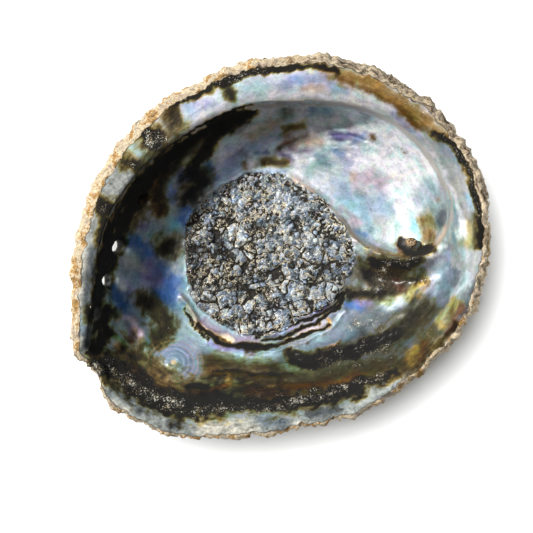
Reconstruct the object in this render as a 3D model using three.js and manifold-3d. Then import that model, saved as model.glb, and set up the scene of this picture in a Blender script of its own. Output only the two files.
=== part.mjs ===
// An abalone shell, the ear-shaped shell of one sea snail, lying on its domed back with the aperture up.
// Millimetres, +Z up. The open front end is towards -X and the spire towards +X; the outer lip is on
// the -Y side, and the columellar shelf runs round the -X, +Y and +X sides. The origin is the centre of
// the small worn flat on the crown of the dome, which is what the shell rests on.
// The shell is one piece. A rusty crumb of grit, wedged in the mouth of the spire, is the only other.
import * as THREE from "three";
import Module from "manifold-3d";

const wasm = await Module();
wasm.setup();

// Driving dimensions.
const REST_RADIUS = 13; // the worn flat on the crown
const FLOOR_THICKNESS = 4.4; // nacre and outer layer together, at the crown
const FLOOR_RADIUS = 11; // the level middle of the floor
const RIM_WIDTH = 3.2; // from the rim's crest in to the cavity's wall
const RIM_DROP = 1.4; // how far the cavity's wall stops below the crest
const DOME_POWER = 2.2; // how flat the crown of the dome is
const SHELF_EDGE = 2.2; // thickness of the shelf at its free inner edge
const SHELF_STEP = 0.8; // the shelf's top lies this far under the rim's crest
const SHELF_ROLL = 0.8; // how far the shelf's top is rounded up near its edge
const SCAR = { x: -3, y: -12.5, radius: 36, height: 1.8 }; // the raised muscle scar on the floor
const SPIRE = { x: 52, y: 4, radius: 19, depth: 3.4 }; // the boss of the coil on the dome
const PORE_RADIUS = 3.1;
const PORE_RIM = 2; // how far a pore's tubercle stands out of the dome
const COLUMNS = 120; // facets round the rim; rings nearer the middle have half or a quarter as many

// The wall all round, by direction from the origin in degrees, counter-clockwise from +X.
// girth: radius of the widest line outside; crest: radius of the rim's top line, and height its height;
// bend: about 0.5 for a wall that ends upright, and 1 for one that ends in a slope, as the outer lip does.
// Where the columellar shelf is, shelf: radius and height of its free inner edge; solid: 0 where it
// overhangs the cavity, 1 where it stands on a foot; foot: how far that foot reaches in past the edge.
const WALL = [
  { at: 0, girth: 84, crest: 80, height: 41, bend: 0.42, shelf: [69, 25.4], solid: 1, foot: 3 },
  { at: 10, girth: 84, crest: 79.8, height: 41.5, bend: 0.42, shelf: [69.7, 28], solid: 1, foot: 5 },
  { at: 20, girth: 83.3, crest: 78.7, height: 42, bend: 0.42, shelf: [68.5, 30.8], solid: 1, foot: 7 },
  { at: 30, girth: 81.2, crest: 76.4, height: 42.5, bend: 0.43, shelf: [66.4, 33.2], solid: 1, foot: 8 },
  { at: 42, girth: 78.4, crest: 73.4, height: 43, bend: 0.44, shelf: [63.3, 35.8], solid: 1, foot: 8 },
  { at: 55, girth: 75.4, crest: 70.4, height: 43.6, bend: 0.46, shelf: [58.6, 37.9], solid: 0.95, foot: 7 },
  { at: 69, girth: 72.2, crest: 67.4, height: 44.1, bend: 0.46, shelf: [54, 39.5], solid: 0.7, foot: 5 },
  { at: 86, girth: 68.6, crest: 64.2, height: 44.7, bend: 0.46, shelf: [50.5, 40.8], solid: 0.25, foot: 2 },
  { at: 104, girth: 66.6, crest: 62.2, height: 45, bend: 0.46, shelf: [49.9, 41.7], solid: 0, foot: 0 },
  { at: 121, girth: 66.2, crest: 61.7, height: 45, bend: 0.46, shelf: [50.2, 42.4], solid: 0, foot: 0 },
  { at: 138, girth: 68.3, crest: 63.2, height: 44.8, bend: 0.46, shelf: [52.2, 42.9], solid: 0, foot: 0 },
  { at: 153, girth: 71.2, crest: 65.6, height: 44.6, bend: 0.46, shelf: [56.6, 43.2], solid: 0, foot: 0 },
  { at: 165, girth: 73.9, crest: 68.4, height: 44.3, bend: 0.46, shelf: [61, 43.4], solid: 0, foot: 0 },
  { at: 176, girth: 77, crest: 71.6, height: 44, bend: 0.48, shelf: [65.6, 43.4], solid: 0, foot: 0 },
  { at: 188, girth: 81, crest: 76.4, height: 43.4, bend: 0.5, shelf: [70.2, 43], solid: 0, foot: 0 },
  { at: 198, girth: 84.5, crest: 80.6, height: 42.6, bend: 0.52, shelf: [75.3, 42.3], solid: 0, foot: 0 },
  { at: 206, girth: 88.4, crest: 85.2, height: 41.4, bend: 0.54, shelf: [80.8, 41.2], solid: 0, foot: 0 },
  { at: 212.5, girth: 93.4, crest: 91.3, height: 39.8, bend: 0.58, shelf: [87.8, 39.8], solid: 0, foot: 0 },
  { at: 216.5, girth: 90.6, crest: 89.4, height: 37.2, bend: 0.62 },
  { at: 225, girth: 94.4, crest: 93.2, height: 37.4, bend: 0.7 },
  { at: 240, girth: 91.4, crest: 90.2, height: 38.6, bend: 0.82 },
  { at: 255, girth: 85, crest: 83.8, height: 39.6, bend: 0.88 },
  { at: 270, girth: 79.3, crest: 78, height: 40, bend: 0.9 },
  { at: 290, girth: 79, crest: 77.6, height: 40, bend: 0.84 },
  { at: 310, girth: 79.6, crest: 77.6, height: 40, bend: 0.74 },
  { at: 330, girth: 82.5, crest: 79.2, height: 40.2, bend: 0.6 },
  { at: 345, girth: 84.7, crest: 80.7, height: 40.5, bend: 0.48 },
];
const SHELF_ENDS = { spire: [-12, -1], tip: [209.5, 215.5] }; // directions over which the shelf dies away

// The lip of the spire's mouth, which carries the shelf's edge on round the hollow, and the ridge that
// it fades into on the floor. edge: a point of its crest; flank: where its outer side meets the floor;
// foot: how far its inner side reaches in past the crest.
const LIP = [
  { edge: [71, 13.5, 24.5], flank: [73.5, 13], foot: 0 },
  { edge: [70.3, 8, 25.6], flank: [74, 5.5], foot: 0.5 },
  { edge: [69.4, 3, 25.4], flank: [76, -3], foot: 1.5 },
  { edge: [67.4, -2, 24.4], flank: [75, -10.5], foot: 1 },
  { edge: [63.6, -6.4, 22.8], flank: [69.3, -16], foot: 0.5 },
  { edge: [57.8, -9.8, 21], flank: [60.5, -19.5], foot: 0 },
  { edge: [50, -10.8, 18.8], flank: [49.3, -20.5], foot: 0.5 },
  { edge: [41.5, -8.4, 16.4], flank: [37.6, -17.5], foot: 2.5 },
  { edge: [33.4, -4.2, 13.8], flank: [27.5, -12.5], foot: 4 },
  { edge: [26.4, 4.2, 11.4], flank: [19.5, -3], foot: 4 },
  { edge: [16.6, 13.6, 9], flank: [11.5, 6.5], foot: 4 },
  { edge: [5.5, 20.3, 5.6], flank: [2, 14], foot: 4 },
];
const LIP_STEPS = 44;
const LIP_SINK = 1.4; // how far the lip's flank and foot end below the floor they meet

// The four open pores, along the shoulder under the shelf, front to back.
const PORES = [
  { x: -74.6, y: -33.4, size: 1 },
  { x: -70.2, y: -19.6, size: 1 },
  { x: -66.2, y: -5.6, size: 1 },
  { x: -56.4, y: 14, size: 0.7 },
];

const rad = THREE.MathUtils.degToRad;
const lerp = THREE.MathUtils.lerp;
const clamp = (value) => THREE.MathUtils.clamp(value, 0, 1);

// The wall's dimensions in any direction, by a smooth curve through the rows of WALL, which is run round
// once more at each end so that it closes smoothly.
const turns = [-360, 0, 360].flatMap((turn) => WALL.map((row) => ({ ...row, at: row.at + turn })));
const wallCurve = new THREE.CubicInterpolant(
  turns.map((row) => row.at),
  turns.flatMap(({ girth, crest, height, bend, shelf = [crest - 4, height - 2], solid = 0, foot = 0 }) => [
    ...[girth, crest, height, bend],
    ...[...shelf, solid, foot],
  ]),
  8,
);

function wallAt(degrees) {
  const at = ((degrees % 360) + 360) % 360;
  const [girth, crest, height, bend, edge, edgeZ, solid, foot] = wallCurve.evaluate(at);
  const wave = scallop(rad(at));
  const fromSpire = at > 300 ? at - 360 : at;
  const starts = THREE.MathUtils.smoothstep(fromSpire, ...SHELF_ENDS.spire);
  const ends = THREE.MathUtils.smoothstep(fromSpire, ...SHELF_ENDS.tip);
  return {
    girth: girth + wave,
    girthZ: height - 1.2 - 0.85 * (girth - crest),
    crest: crest + wave,
    height: height + wave / 2,
    inside: crest - RIM_WIDTH,
    bend,
    shelf: { edge, edgeZ, solid: clamp(solid), foot: Math.max(0, foot), amount: starts * (1 - ends) },
  };
}

// The low waves that growth leaves in the rim.
function scallop(angle) {
  return 0.34 * Math.sin(11 * angle + 0.6) + 0.28 * Math.sin(19 * angle + 2.1) + 0.2 * Math.sin(31 * angle);
}

function polar(x, y) {
  return { radius: Math.hypot(x, y), degrees: THREE.MathUtils.radToDeg(Math.atan2(y, x)) };
}

const pointAt = (radius, degrees) => [radius * Math.cos(rad(degrees)), radius * Math.sin(rad(degrees))];

const bump = (x, y, place) => Math.exp(-(((x - place.x) ** 2 + (y - place.y) ** 2) / place.radius ** 2));
const spireBoss = (x, y) => SPIRE.depth * bump(x, y, SPIRE);

// A raised patch with a level top and a short slope at its edge.
function scarHeight(x, y) {
  const away = Math.hypot(x - SCAR.x, y - SCAR.y) / SCAR.radius;
  return SCAR.height * (1 - THREE.MathUtils.smoothstep(away, 0.82, 1.08));
}

// Share of the wall's height at a share of its width: flat at the crown, steep at the rim.
const rise = (share, bend) => 1 - (1 - Math.min(share, 1) ** DOME_POWER) ** bend;

// Height of the outside of the shell, and of the cavity's floor, over a point.
function outsideHeight(x, y) {
  const { radius, degrees } = polar(x, y);
  const wall = wallAt(degrees);
  const share = Math.max(0, radius - REST_RADIUS) / (wall.girth - REST_RADIUS);
  return Math.max(0, wall.girthZ * rise(share, wall.bend) - spireBoss(x, y));
}

function floorHeight(x, y) {
  const { radius, degrees } = polar(x, y);
  const wall = wallAt(degrees);
  const share = Math.max(0, radius - FLOOR_RADIUS) / (wall.inside - FLOOR_RADIUS);
  const wallHeight = wall.height - RIM_DROP - FLOOR_THICKNESS;
  return FLOOR_THICKNESS + wallHeight * rise(share, wall.bend) - spireBoss(x, y) + scarHeight(x, y);
}

const middleHeight = (x, y) => (outsideHeight(x, y) + floorHeight(x, y)) / 2;

// A closed solid from vertices and triangles, with its faces turned out.
function solidFrom(points, triangles) {
  const mesh = new wasm.Mesh({
    numProp: 3,
    vertProperties: new Float32Array(points.flat()),
    triVerts: new Uint32Array(triangles.flat()),
  });
  return new wasm.Manifold(mesh);
}

// Directions of the rim's columns, closer together round the notch at the front, where the shelf ends.
function columnAngles() {
  const notch = 215;
  const weights = Array.from({ length: COLUMNS }, (_, k) => {
    const away = Math.abs(((k / COLUMNS) * 360 - notch + 540) % 360 - 180);
    return 1 - 0.62 * Math.exp(-((away / 14) ** 2));
  });
  const total = weights.reduce((sum, weight) => sum + weight);
  let turned = 0;
  return weights.map((weight) => (turned += (weight / total) * 360));
}

// The inner side of the bowl in one direction, as [radius, height] from near the middle out to the rim.
// Where there is no shelf it is the plain wall, with as many points.
const FLOOR_SHARES = [0.1, 0.22, 0.34, 0.46, 0.57, 0.67, 0.76, 0.84, 0.92, 1];
const PLAIN_SHARES = [0.855, 0.885, 0.91, 0.93, 0.948, 0.963, 0.976, 0.986, 0.994];

function innerProfile(degrees) {
  const wall = wallAt(degrees);
  const { edge, edgeZ, solid, foot, amount } = wall.shelf;
  const onFloor = (radius) => [radius, floorHeight(...pointAt(radius, degrees))];
  const shelfFloorEnd = lerp(wall.inside * 0.985, edge - foot, solid);
  const floorEnd = lerp(wall.inside * 0.825, shelfFloorEnd, amount);
  const floor = FLOOR_SHARES.map((share) => onFloor(floorEnd * share));

  const [rootRadius, rootZ] = onFloor(shelfFloorEnd);
  const noseZ = edgeZ - SHELF_EDGE;
  const rimRadius = wall.crest - 0.7;
  const rimZ = wall.height - SHELF_STEP;
  const underside = [[0.12, 0.4, 0.5, 0.14], [0.4, 0.76, 0.8, 0.42], [0.74, 0.94, 0.96, 0.74]];
  const shelf = [
    ...underside.map(([hangIn, hangUp, standIn, standUp]) => [
      lerp(rootRadius, edge, lerp(hangIn, standIn, solid)),
      lerp(rootZ, noseZ, lerp(hangUp, standUp, solid)),
    ]),
    [edge + 0.1, noseZ],
    [edge - 0.7, edgeZ - SHELF_EDGE * 0.45],
    [edge, edgeZ],
    ...[0.22, 0.5, 0.78].map((u) => [
      lerp(edge, rimRadius, u),
      lerp(edgeZ, rimZ, u) + SHELF_ROLL * Math.sin(Math.PI * Math.sqrt(u)),
    ]),
  ];
  const plain = PLAIN_SHARES.map((share) => onFloor(wall.inside * share));
  const upper = shelf.map((point, k) => point.map((value, axis) => lerp(plain[k][axis], value, amount)));
  const rim = [
    [lerp(wall.inside, rimRadius, amount), lerp(wall.height - RIM_DROP, rimZ, amount)],
    [lerp(wall.crest - RIM_WIDTH * 0.45, wall.crest - 0.3, amount), wall.height - 0.3],
  ];
  return [...floor, ...upper, ...rim];
}

// The outer side in one direction, from the rim's crest down to the edge of the worn flat.
const OUTER_SHARES = [0.99, 0.96, 0.92, 0.87, 0.81, 0.73, 0.64, 0.54, 0.43, 0.31, 0.2, 0.1, 0];

function outerProfile(degrees) {
  const wall = wallAt(degrees);
  const onDome = (radius) => [radius, outsideHeight(...pointAt(radius, degrees))];
  return [
    [wall.crest, wall.height],
    [lerp(wall.crest, wall.girth, 0.62), lerp(wall.height, wall.girthZ, 0.32)],
    [wall.girth, wall.girthZ],
    ...OUTER_SHARES.map((share) => onDome(lerp(REST_RADIUS, wall.girth, share))),
  ];
}

// The bowl of the shell: a grid of rings from the middle of the floor, up the wall, over the rim and down
// the outside to the worn flat, with fewer columns where the rings are small.
function bowl() {
  const profiles = columnAngles().map((degrees) => {
    const profile = [...innerProfile(degrees), ...outerProfile(degrees)];
    return profile.map(([radius, z]) => [...pointAt(radius, degrees), z]);
  });
  const points = [];
  const rings = profiles[0].map(([x, y], r) => {
    const radius = Math.hypot(x, y);
    const step = radius > 44 ? 1 : radius > 22 ? 2 : 4;
    const ring = profiles.filter((_, k) => k % step === 0);
    return ring.map((profile) => points.push(profile[r]) - 1);
  });
  const triangles = rings.slice(1).flatMap((ring, r) => band(rings[r], ring));
  points.push([0, 0, floorHeight(0, 0)], [0, 0, 0]);
  triangles.push(...fan(points.length - 2, rings[0]));
  triangles.push(...fan(points.length - 1, rings.at(-1)).map(([a, b, c]) => [a, c, b]));
  return solidFrom(points, triangles);
}

// Triangles between two rings, of which one may have twice as many points as the other.
function band(a, b) {
  const triangles = [];
  const cells = Math.min(a.length, b.length);
  const stepA = a.length / cells;
  const stepB = b.length / cells;
  for (let c = 0; c < cells; c++) {
    const [a0, a1] = [a[c * stepA], a[((c + 1) * stepA) % a.length]];
    const [b0, b1] = [b[c * stepB], b[((c + 1) * stepB) % b.length]];
    const middleA = a[c * stepA + 1];
    const middleB = b[c * stepB + 1];
    if (stepB === 2) triangles.push([a0, b0, middleB], [a0, middleB, a1], [a1, middleB, b1]);
    else if (stepA === 2) triangles.push([a0, b0, middleA], [middleA, b0, b1], [middleA, b1, a1]);
    else triangles.push([a0, b0, b1], [a0, b1, a1]);
  }
  return triangles;
}

const fan = (middle, ring) => ring.map((id, k) => [middle, id, ring[(k + 1) % ring.length]]);

// The lip and ridge: one closed section swept along the crest.
function lip() {
  const curve = (pick) => new THREE.CatmullRomCurve3(LIP.map((row) => new THREE.Vector3(...pick(row))));
  const edges = curve((row) => row.edge);
  const flanks = curve((row) => [...row.flank, row.foot]);
  const sections = Array.from({ length: LIP_STEPS + 1 }, (_, k) => {
    const at = k / LIP_STEPS;
    return lipSection(edges.getPoint(at), flanks.getPoint(at));
  });
  const size = sections[0].length;
  const rings = sections.map((section, s) => section.map((_, k) => s * size + k));
  const triangles = rings.slice(1).flatMap((ring, s) => band(ring, rings[s]));
  for (let k = 1; k + 1 < size; k++) {
    triangles.push([rings[0][0], rings[0][k + 1], rings[0][k]]);
    triangles.push([rings.at(-1)[0], rings.at(-1)[k], rings.at(-1)[k + 1]]);
  }
  return solidFrom(sections.flat(), triangles);
}

// One section of the lip, as a loop: from its flank in the floor up a straight slope to the crest, round the
// crest, down its steep inner side into the floor, and back inside the wall.
function lipSection(edge, flank) {
  const foot = Math.max(0, flank.z);
  const across = new THREE.Vector3(flank.x - edge.x, flank.y - edge.y, 0);
  const width = across.length();
  across.normalize();
  const place = (distance, height) => {
    const p = edge.clone().addScaledVector(across, distance);
    return [p.x, p.y, height(floorHeight(p.x, p.y), p.x, p.y)];
  };
  const standing = edge.z - floorHeight(edge.x, edge.y);
  const slope = (u) => place(u * width, (floor) => floor + standing * (1 - u) - LIP_SINK * u);
  const noseZ = edge.z - SHELF_EDGE;
  return [
    ...[1, 0.74, 0.46, 0.2].map(slope),
    place(0, () => edge.z),
    place(-0.7, () => edge.z - SHELF_EDGE * 0.45),
    place(0.1, () => noseZ),
    place(-0.35 * foot, (floor) => lerp(noseZ, floor, 0.6)),
    place(-foot, (floor) => floor - LIP_SINK),
    place(0.4 * width, (_, x, y) => middleHeight(x, y)),
    place(width, (_, x, y) => middleHeight(x, y)),
  ];
}

// A round post standing along the dome's own normal at a pore, from one depth to another.
function postOnDome({ x, y }, rootRadius, tipRadius, from, to) {
  const d = 0.5;
  const slopeX = (outsideHeight(x + d, y) - outsideHeight(x - d, y)) / (2 * d);
  const slopeY = (outsideHeight(x, y + d) - outsideHeight(x, y - d)) / (2 * d);
  const outward = new THREE.Vector3(slopeX, slopeY, -1).normalize();
  const post = new THREE.CylinderGeometry(tipRadius, rootRadius, to - from, 14);
  post.translate(0, (from + to) / 2, 0);
  post.applyQuaternion(new THREE.Quaternion().setFromUnitVectors(new THREE.Vector3(0, 1, 0), outward));
  post.translate(x, y, outsideHeight(x, y));
  return solidOf(post);
}

// A three.js geometry as a solid, its shared vertices merged by place.
function solidOf(geometry) {
  const source = geometry.index ? geometry.toNonIndexed() : geometry;
  const position = source.getAttribute("position");
  const ids = new Map();
  const points = [];
  const corners = [];
  for (let i = 0; i < position.count; i++) {
    const p = [position.getX(i), position.getY(i), position.getZ(i)];
    const key = p.map((v) => v.toFixed(4)).join();
    if (!ids.has(key)) ids.set(key, points.push(p) - 1);
    corners.push(ids.get(key));
  }
  const triangles = [];
  for (let i = 0; i < corners.length; i += 3) {
    const [a, b, c] = corners.slice(i, i + 3);
    if (a !== b && b !== c && a !== c) triangles.push([a, b, c]);
  }
  return solidFrom(points, triangles);
}

// The hollow under the lip, where the spire's coil turns away out of sight.
function spireHollow() {
  const hollow = new THREE.SphereGeometry(1, 16, 10);
  hollow.scale(8.2, 4.6, 4.6);
  hollow.rotateZ(rad(10));
  hollow.translate(56.4, -5.6, 14.6);
  return solidOf(hollow);
}

function geometryOf(solid) {
  const mesh = solid.getMesh();
  const geometry = new THREE.BufferGeometry();
  geometry.setAttribute("position", new THREE.BufferAttribute(new Float32Array(mesh.vertProperties), 3));
  geometry.setIndex(new THREE.BufferAttribute(new Uint32Array(mesh.triVerts), 1));
  geometry.computeVertexNormals();
  return geometry;
}

function shellSolid() {
  let shell = bowl().add(lip());
  for (const pore of PORES) {
    const radius = PORE_RADIUS * pore.size;
    shell = shell.add(postOnDome(pore, radius + 2.6, radius + 1.3, -1, PORE_RIM));
  }
  for (const pore of PORES) {
    const radius = PORE_RADIUS * pore.size;
    shell = shell.subtract(postOnDome(pore, radius, radius, -12, PORE_RIM + 2));
  }
  return shell.subtract(spireHollow());
}

// The crumb of grit in the mouth of the spire, a small uneven pebble.
function gritGeometry() {
  const grit = new THREE.IcosahedronGeometry(2.1, 2);
  grit.scale(1.15, 0.9, 0.85);
  return geometryOf(solidOf(grit));
}

const nacre = new THREE.MeshStandardMaterial({ color: 0xa9b8c2, roughness: 0.28, metalness: 0.15 });
const rust = new THREE.MeshStandardMaterial({ color: 0x8a5a2b, roughness: 0.9, metalness: 0 });

const shell = new THREE.Mesh(geometryOf(shellSolid()), nacre);
shell.name = "shell";

const grit = new THREE.Mesh(gritGeometry(), rust);
grit.name = "spire_grit";
grit.position.set(54.2, -4.6, 12.6);
grit.rotation.z = rad(20);

const abalone = new THREE.Group();
abalone.add(shell, grit);

export default abalone;
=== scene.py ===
"""An abalone shell lying aperture up on a pale studio floor, laid out as a Blender add-on.

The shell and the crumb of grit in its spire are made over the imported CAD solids. Lengths in this file are
in millimetres unless a property says otherwise; meshes are written in metres, in the CAD model's frame:
+Z up, +X towards the spire, -Y towards the outer lip, and the origin under the middle of the dome.
"""

import math

import bmesh
import bpy
import numpy as np
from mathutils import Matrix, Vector, noise
from mathutils.bvhtree import BVHTree


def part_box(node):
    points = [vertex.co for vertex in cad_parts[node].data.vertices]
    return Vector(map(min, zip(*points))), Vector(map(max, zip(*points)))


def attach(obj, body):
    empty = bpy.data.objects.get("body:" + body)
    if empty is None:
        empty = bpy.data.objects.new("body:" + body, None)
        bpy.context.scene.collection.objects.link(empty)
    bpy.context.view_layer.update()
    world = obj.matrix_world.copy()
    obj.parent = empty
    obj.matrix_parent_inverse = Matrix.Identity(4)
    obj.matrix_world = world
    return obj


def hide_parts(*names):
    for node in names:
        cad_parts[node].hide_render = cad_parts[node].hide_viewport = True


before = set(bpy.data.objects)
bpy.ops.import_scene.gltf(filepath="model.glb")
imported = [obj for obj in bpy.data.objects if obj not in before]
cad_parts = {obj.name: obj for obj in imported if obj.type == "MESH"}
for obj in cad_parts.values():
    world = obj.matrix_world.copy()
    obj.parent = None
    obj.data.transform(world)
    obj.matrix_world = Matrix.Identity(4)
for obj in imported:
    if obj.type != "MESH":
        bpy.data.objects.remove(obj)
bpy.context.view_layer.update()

bl_info = {
    "name": "Abalone Shell",
    "version": (1, 0, 0),
    "blender": (4, 5, 0),
    "location": "3D View > Sidebar > Abalone",
    "description": "Models a pearly abalone shell and lights it on a studio floor",
    "category": "Add Mesh",
}

MM = 0.001  # metres in a millimetre

# ---------------------------------------------------------------- colours

# The shell's colours as they look: red, green and blue, each from 0 to 1.
TONES = {
    "white": (0.96, 0.97, 0.97),
    "pearl": (0.85, 0.86, 0.86),
    "ice": (0.75, 0.80, 0.81),
    "mist": (0.69, 0.73, 0.77),
    "sky": (0.59, 0.68, 0.75),
    "azure": (0.47, 0.57, 0.72),
    "blue": (0.20, 0.37, 0.60),
    "deep": (0.10, 0.28, 0.50),
    "navy": (0.06, 0.12, 0.34),
    "cyan": (0.48, 0.68, 0.74),
    "teal": (0.50, 0.61, 0.64),
    "mint": (0.58, 0.69, 0.67),
    "green": (0.46, 0.70, 0.52),
    "lavender": (0.60, 0.62, 0.74),
    "lilac": (0.73, 0.71, 0.79),
    "violet": (0.40, 0.39, 0.56),
    "rose": (0.77, 0.71, 0.75),
    "mauve": (0.47, 0.43, 0.50),
    "steel": (0.46, 0.52, 0.57),
    "slate": (0.32, 0.35, 0.37),
    "dusk": (0.20, 0.21, 0.22),
    "ash": (0.62, 0.64, 0.63),
    "chalk": (0.66, 0.69, 0.68),
    "ivory": (0.85, 0.84, 0.79),
    "cream": (0.91, 0.86, 0.74),
    "beige": (0.76, 0.68, 0.60),
    "tan": (0.55, 0.49, 0.39),
    "straw": (0.74, 0.70, 0.48),
    "gold": (0.62, 0.52, 0.33),
    "amber": (0.42, 0.31, 0.12),
    "orange": (0.74, 0.56, 0.32),
    "rust": (0.38, 0.25, 0.13),
    "olive": (0.33, 0.31, 0.18),
    "moss": (0.24, 0.24, 0.12),
    "umber": (0.20, 0.16, 0.11),
    "bark": (0.09, 0.075, 0.05),
}


# Tints that shift over the pearl, and the light that the horny layer passes from thin to thick. Both are
# stops of a colour ramp, in linear colours.
TINTS = (
    (0.30, (0.42, 0.56, 0.50)),
    (0.40, (0.43, 0.53, 0.56)),
    (0.47, (0.50, 0.53, 0.52)),
    (0.53, (0.50, 0.49, 0.56)),
    (0.60, (0.55, 0.51, 0.54)),
    (0.70, (0.55, 0.55, 0.49)),
)
HORN = (
    (0.12, (1.0, 1.0, 1.0)),
    (0.26, (0.84, 0.74, 0.44)),
    (0.42, (0.50, 0.38, 0.13)),
    (0.56, (0.26, 0.17, 0.035)),
    (0.72, (0.06, 0.045, 0.02)),
    (0.92, (0.015, 0.012, 0.008)),
)


def linear(tone):
    """A colour of TONES as a linear colour, as shaders and attributes hold it."""
    return tuple(((c + 0.055) / 1.055) ** 2.4 if c > 0.04 else c / 12.92 for c in TONES[tone])


# ---------------------------------------------------------------- where things lie on the shell

# Radius of the shelf's free inner edge, by direction from the origin in degrees.
SHELF_EDGE = (
    (-12, 72), (0, 69), (10, 69.7), (20, 68.5), (30, 66.4), (42, 63.3), (55, 58.6), (69, 54),
    (86, 50.5), (104, 49.9), (121, 50.2), (138, 52.2), (153, 56.6), (165, 61), (176, 65.6),
    (188, 70.2), (198, 75.3), (206, 80.8), (212.5, 87.8),
)
NO_SHELF = 200  # a radius past the whole shell, for directions in which the shelf has no free edge
SHELF_ROUND = 1.2  # how far the rounded edge of the shelf reaches inwards from that radius
RIM_MIDDLE = -1.5  # how far inside the rim's crest the bitten margin's middle lies; below 0 is outside
RIM_WIDTH = 4  # how far to each side of that the rim's faces are as small as those inside
SCAR_CENTRE = (-4, -10)
# Radius of the muscle scar from its centre, at each thirty degrees from +X.
SCAR_OUTLINE = (36, 32.5, 31.5, 33.5, 33.5, 34, 32.5, 33.5, 32.8, 32, 28.6, 32.5)
APEX = (52, 4)  # middle of the spire, which the growth lines outside run round
BLISTER = (-41, -53)  # middle of the pearl blister
BLISTER_STRETCH = 1.12  # its length along X for a width of 1
FAR = 40  # a distance from the blister at which it changes nothing

# Grooves under the scar, which the horny layer fills: x, y of each point.
GROOVES = (
    (-31, -37.5, -27, -41, -22, -44, -16, -45.6, -8, -46.8, -2, -46.2, 2, -44.6, 6, -43.2),
    (-8, -42.6, -2, -40, 4, -38.6, 10, -36.8, 17, -33.8, 23, -30, 27, -25.6),
    (-5, -43.6, 3, -42, 10, -39.6, 16, -36.6, 21, -33, 25.6, -29.6, 28, -26),
    (8, -34.4, 14, -32, 20, -29.4, 25, -26),
    (3, -44.4, 10, -42.4, 16, -39.8, 20.6, -37.2),
)

# Ridges (height over 0) and grooves of the inside: height, half width, then x, y of each point.
FOLDS = (
    (0.9, 1.3, -38, -27, -34, -31, -32, -36, -29, -40, -24, -42.5),
    (-0.8, 0.7, *GROOVES[0]),
    (0.7, 1.0, -27, -43, -20, -46.4, -12, -48.6, -4, -48.8, 4, -46.8, 12, -44.2, 19, -40.5, 24, -37, 28, -32),
    (-0.6, 0.5, *GROOVES[1]),
    (0.5, 0.6, -4, -41.8, 3, -40.4, 10, -38.2, 17, -35.2, 24, -30.6),
    (-0.6, 0.5, *GROOVES[2]),
    (-0.5, 0.5, *GROOVES[3]),
    (-0.5, 0.5, *GROOVES[4]),
    (0.7, 1.2, -26, 12, -22, 15.5, -17, 18.5, -12, 21.5, -5, 23.2, 2, 23.6, 8, 20.5, 14, 16.5),
    (0.8, 0.9, -35, -63.2, -30, -63.6, -24, -62, -19, -60),
    (-0.7, 1.0, -34, -61.6, -28, -62, -23, -60.4),
    (-0.45, 0.8, -28, -57.6, -22, -56, -14, -55.2, -7, -56.8, 0, -57.6, 8, -57),
    (-0.35, 0.7, -24, -60.6, -14, -60.2, -4, -59.8, 6, -60),
    (-1.0, 1.6, 5, -50.6, 13, -52.4, 22, -50.6, 31, -47.6, 39, -44.6, 47, -41.6),
    (0.7, 1.8, 10, -49, 18, -47.5, 26, -45, 34, -41.6),
    (0.9, 0.9, -67, -38.8, -64, -41.8, -60, -44.6, -57, -45.6),
    (0.5, 1.6, -62, -36, -57, -36.6, -54, -40, -53, -44),
    (0.5, 0.7, 21, 39.2, 26, 40, 31, 39.2, 36, 37.4),
    (0.45, 0.6, 21, 37.2, 26, 37.8, 31, 37, 36, 35.2),
    (0.4, 0.6, 22, 35.2, 27, 35.8, 32, 35, 36, 33.2),
    (0.4, 0.6, 23, 33.4, 28, 34, 33, 33),
    (0.9, 1.7, -37, 26.4, -31, 29.4, -27, 31.4, -23, 33.6),
    (0.6, 1.2, 0, 33, 4, 35, 9, 37, 14, 38.4),
    (-0.5, 1.0, 2, 36.8, 7, 39, 12, 40.6),
    (0.5, 1.4, 22, 11.5, 27, 7.5, 32, 3.5, 37, 0.5),
    (-0.5, 3.6, 70, -10, 68, -18, 64, -26, 58, -33, 51, -39),
    (-0.5, 1.2, 40, -24.6, 34, -25.6, 29.6, -26),
)

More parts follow.
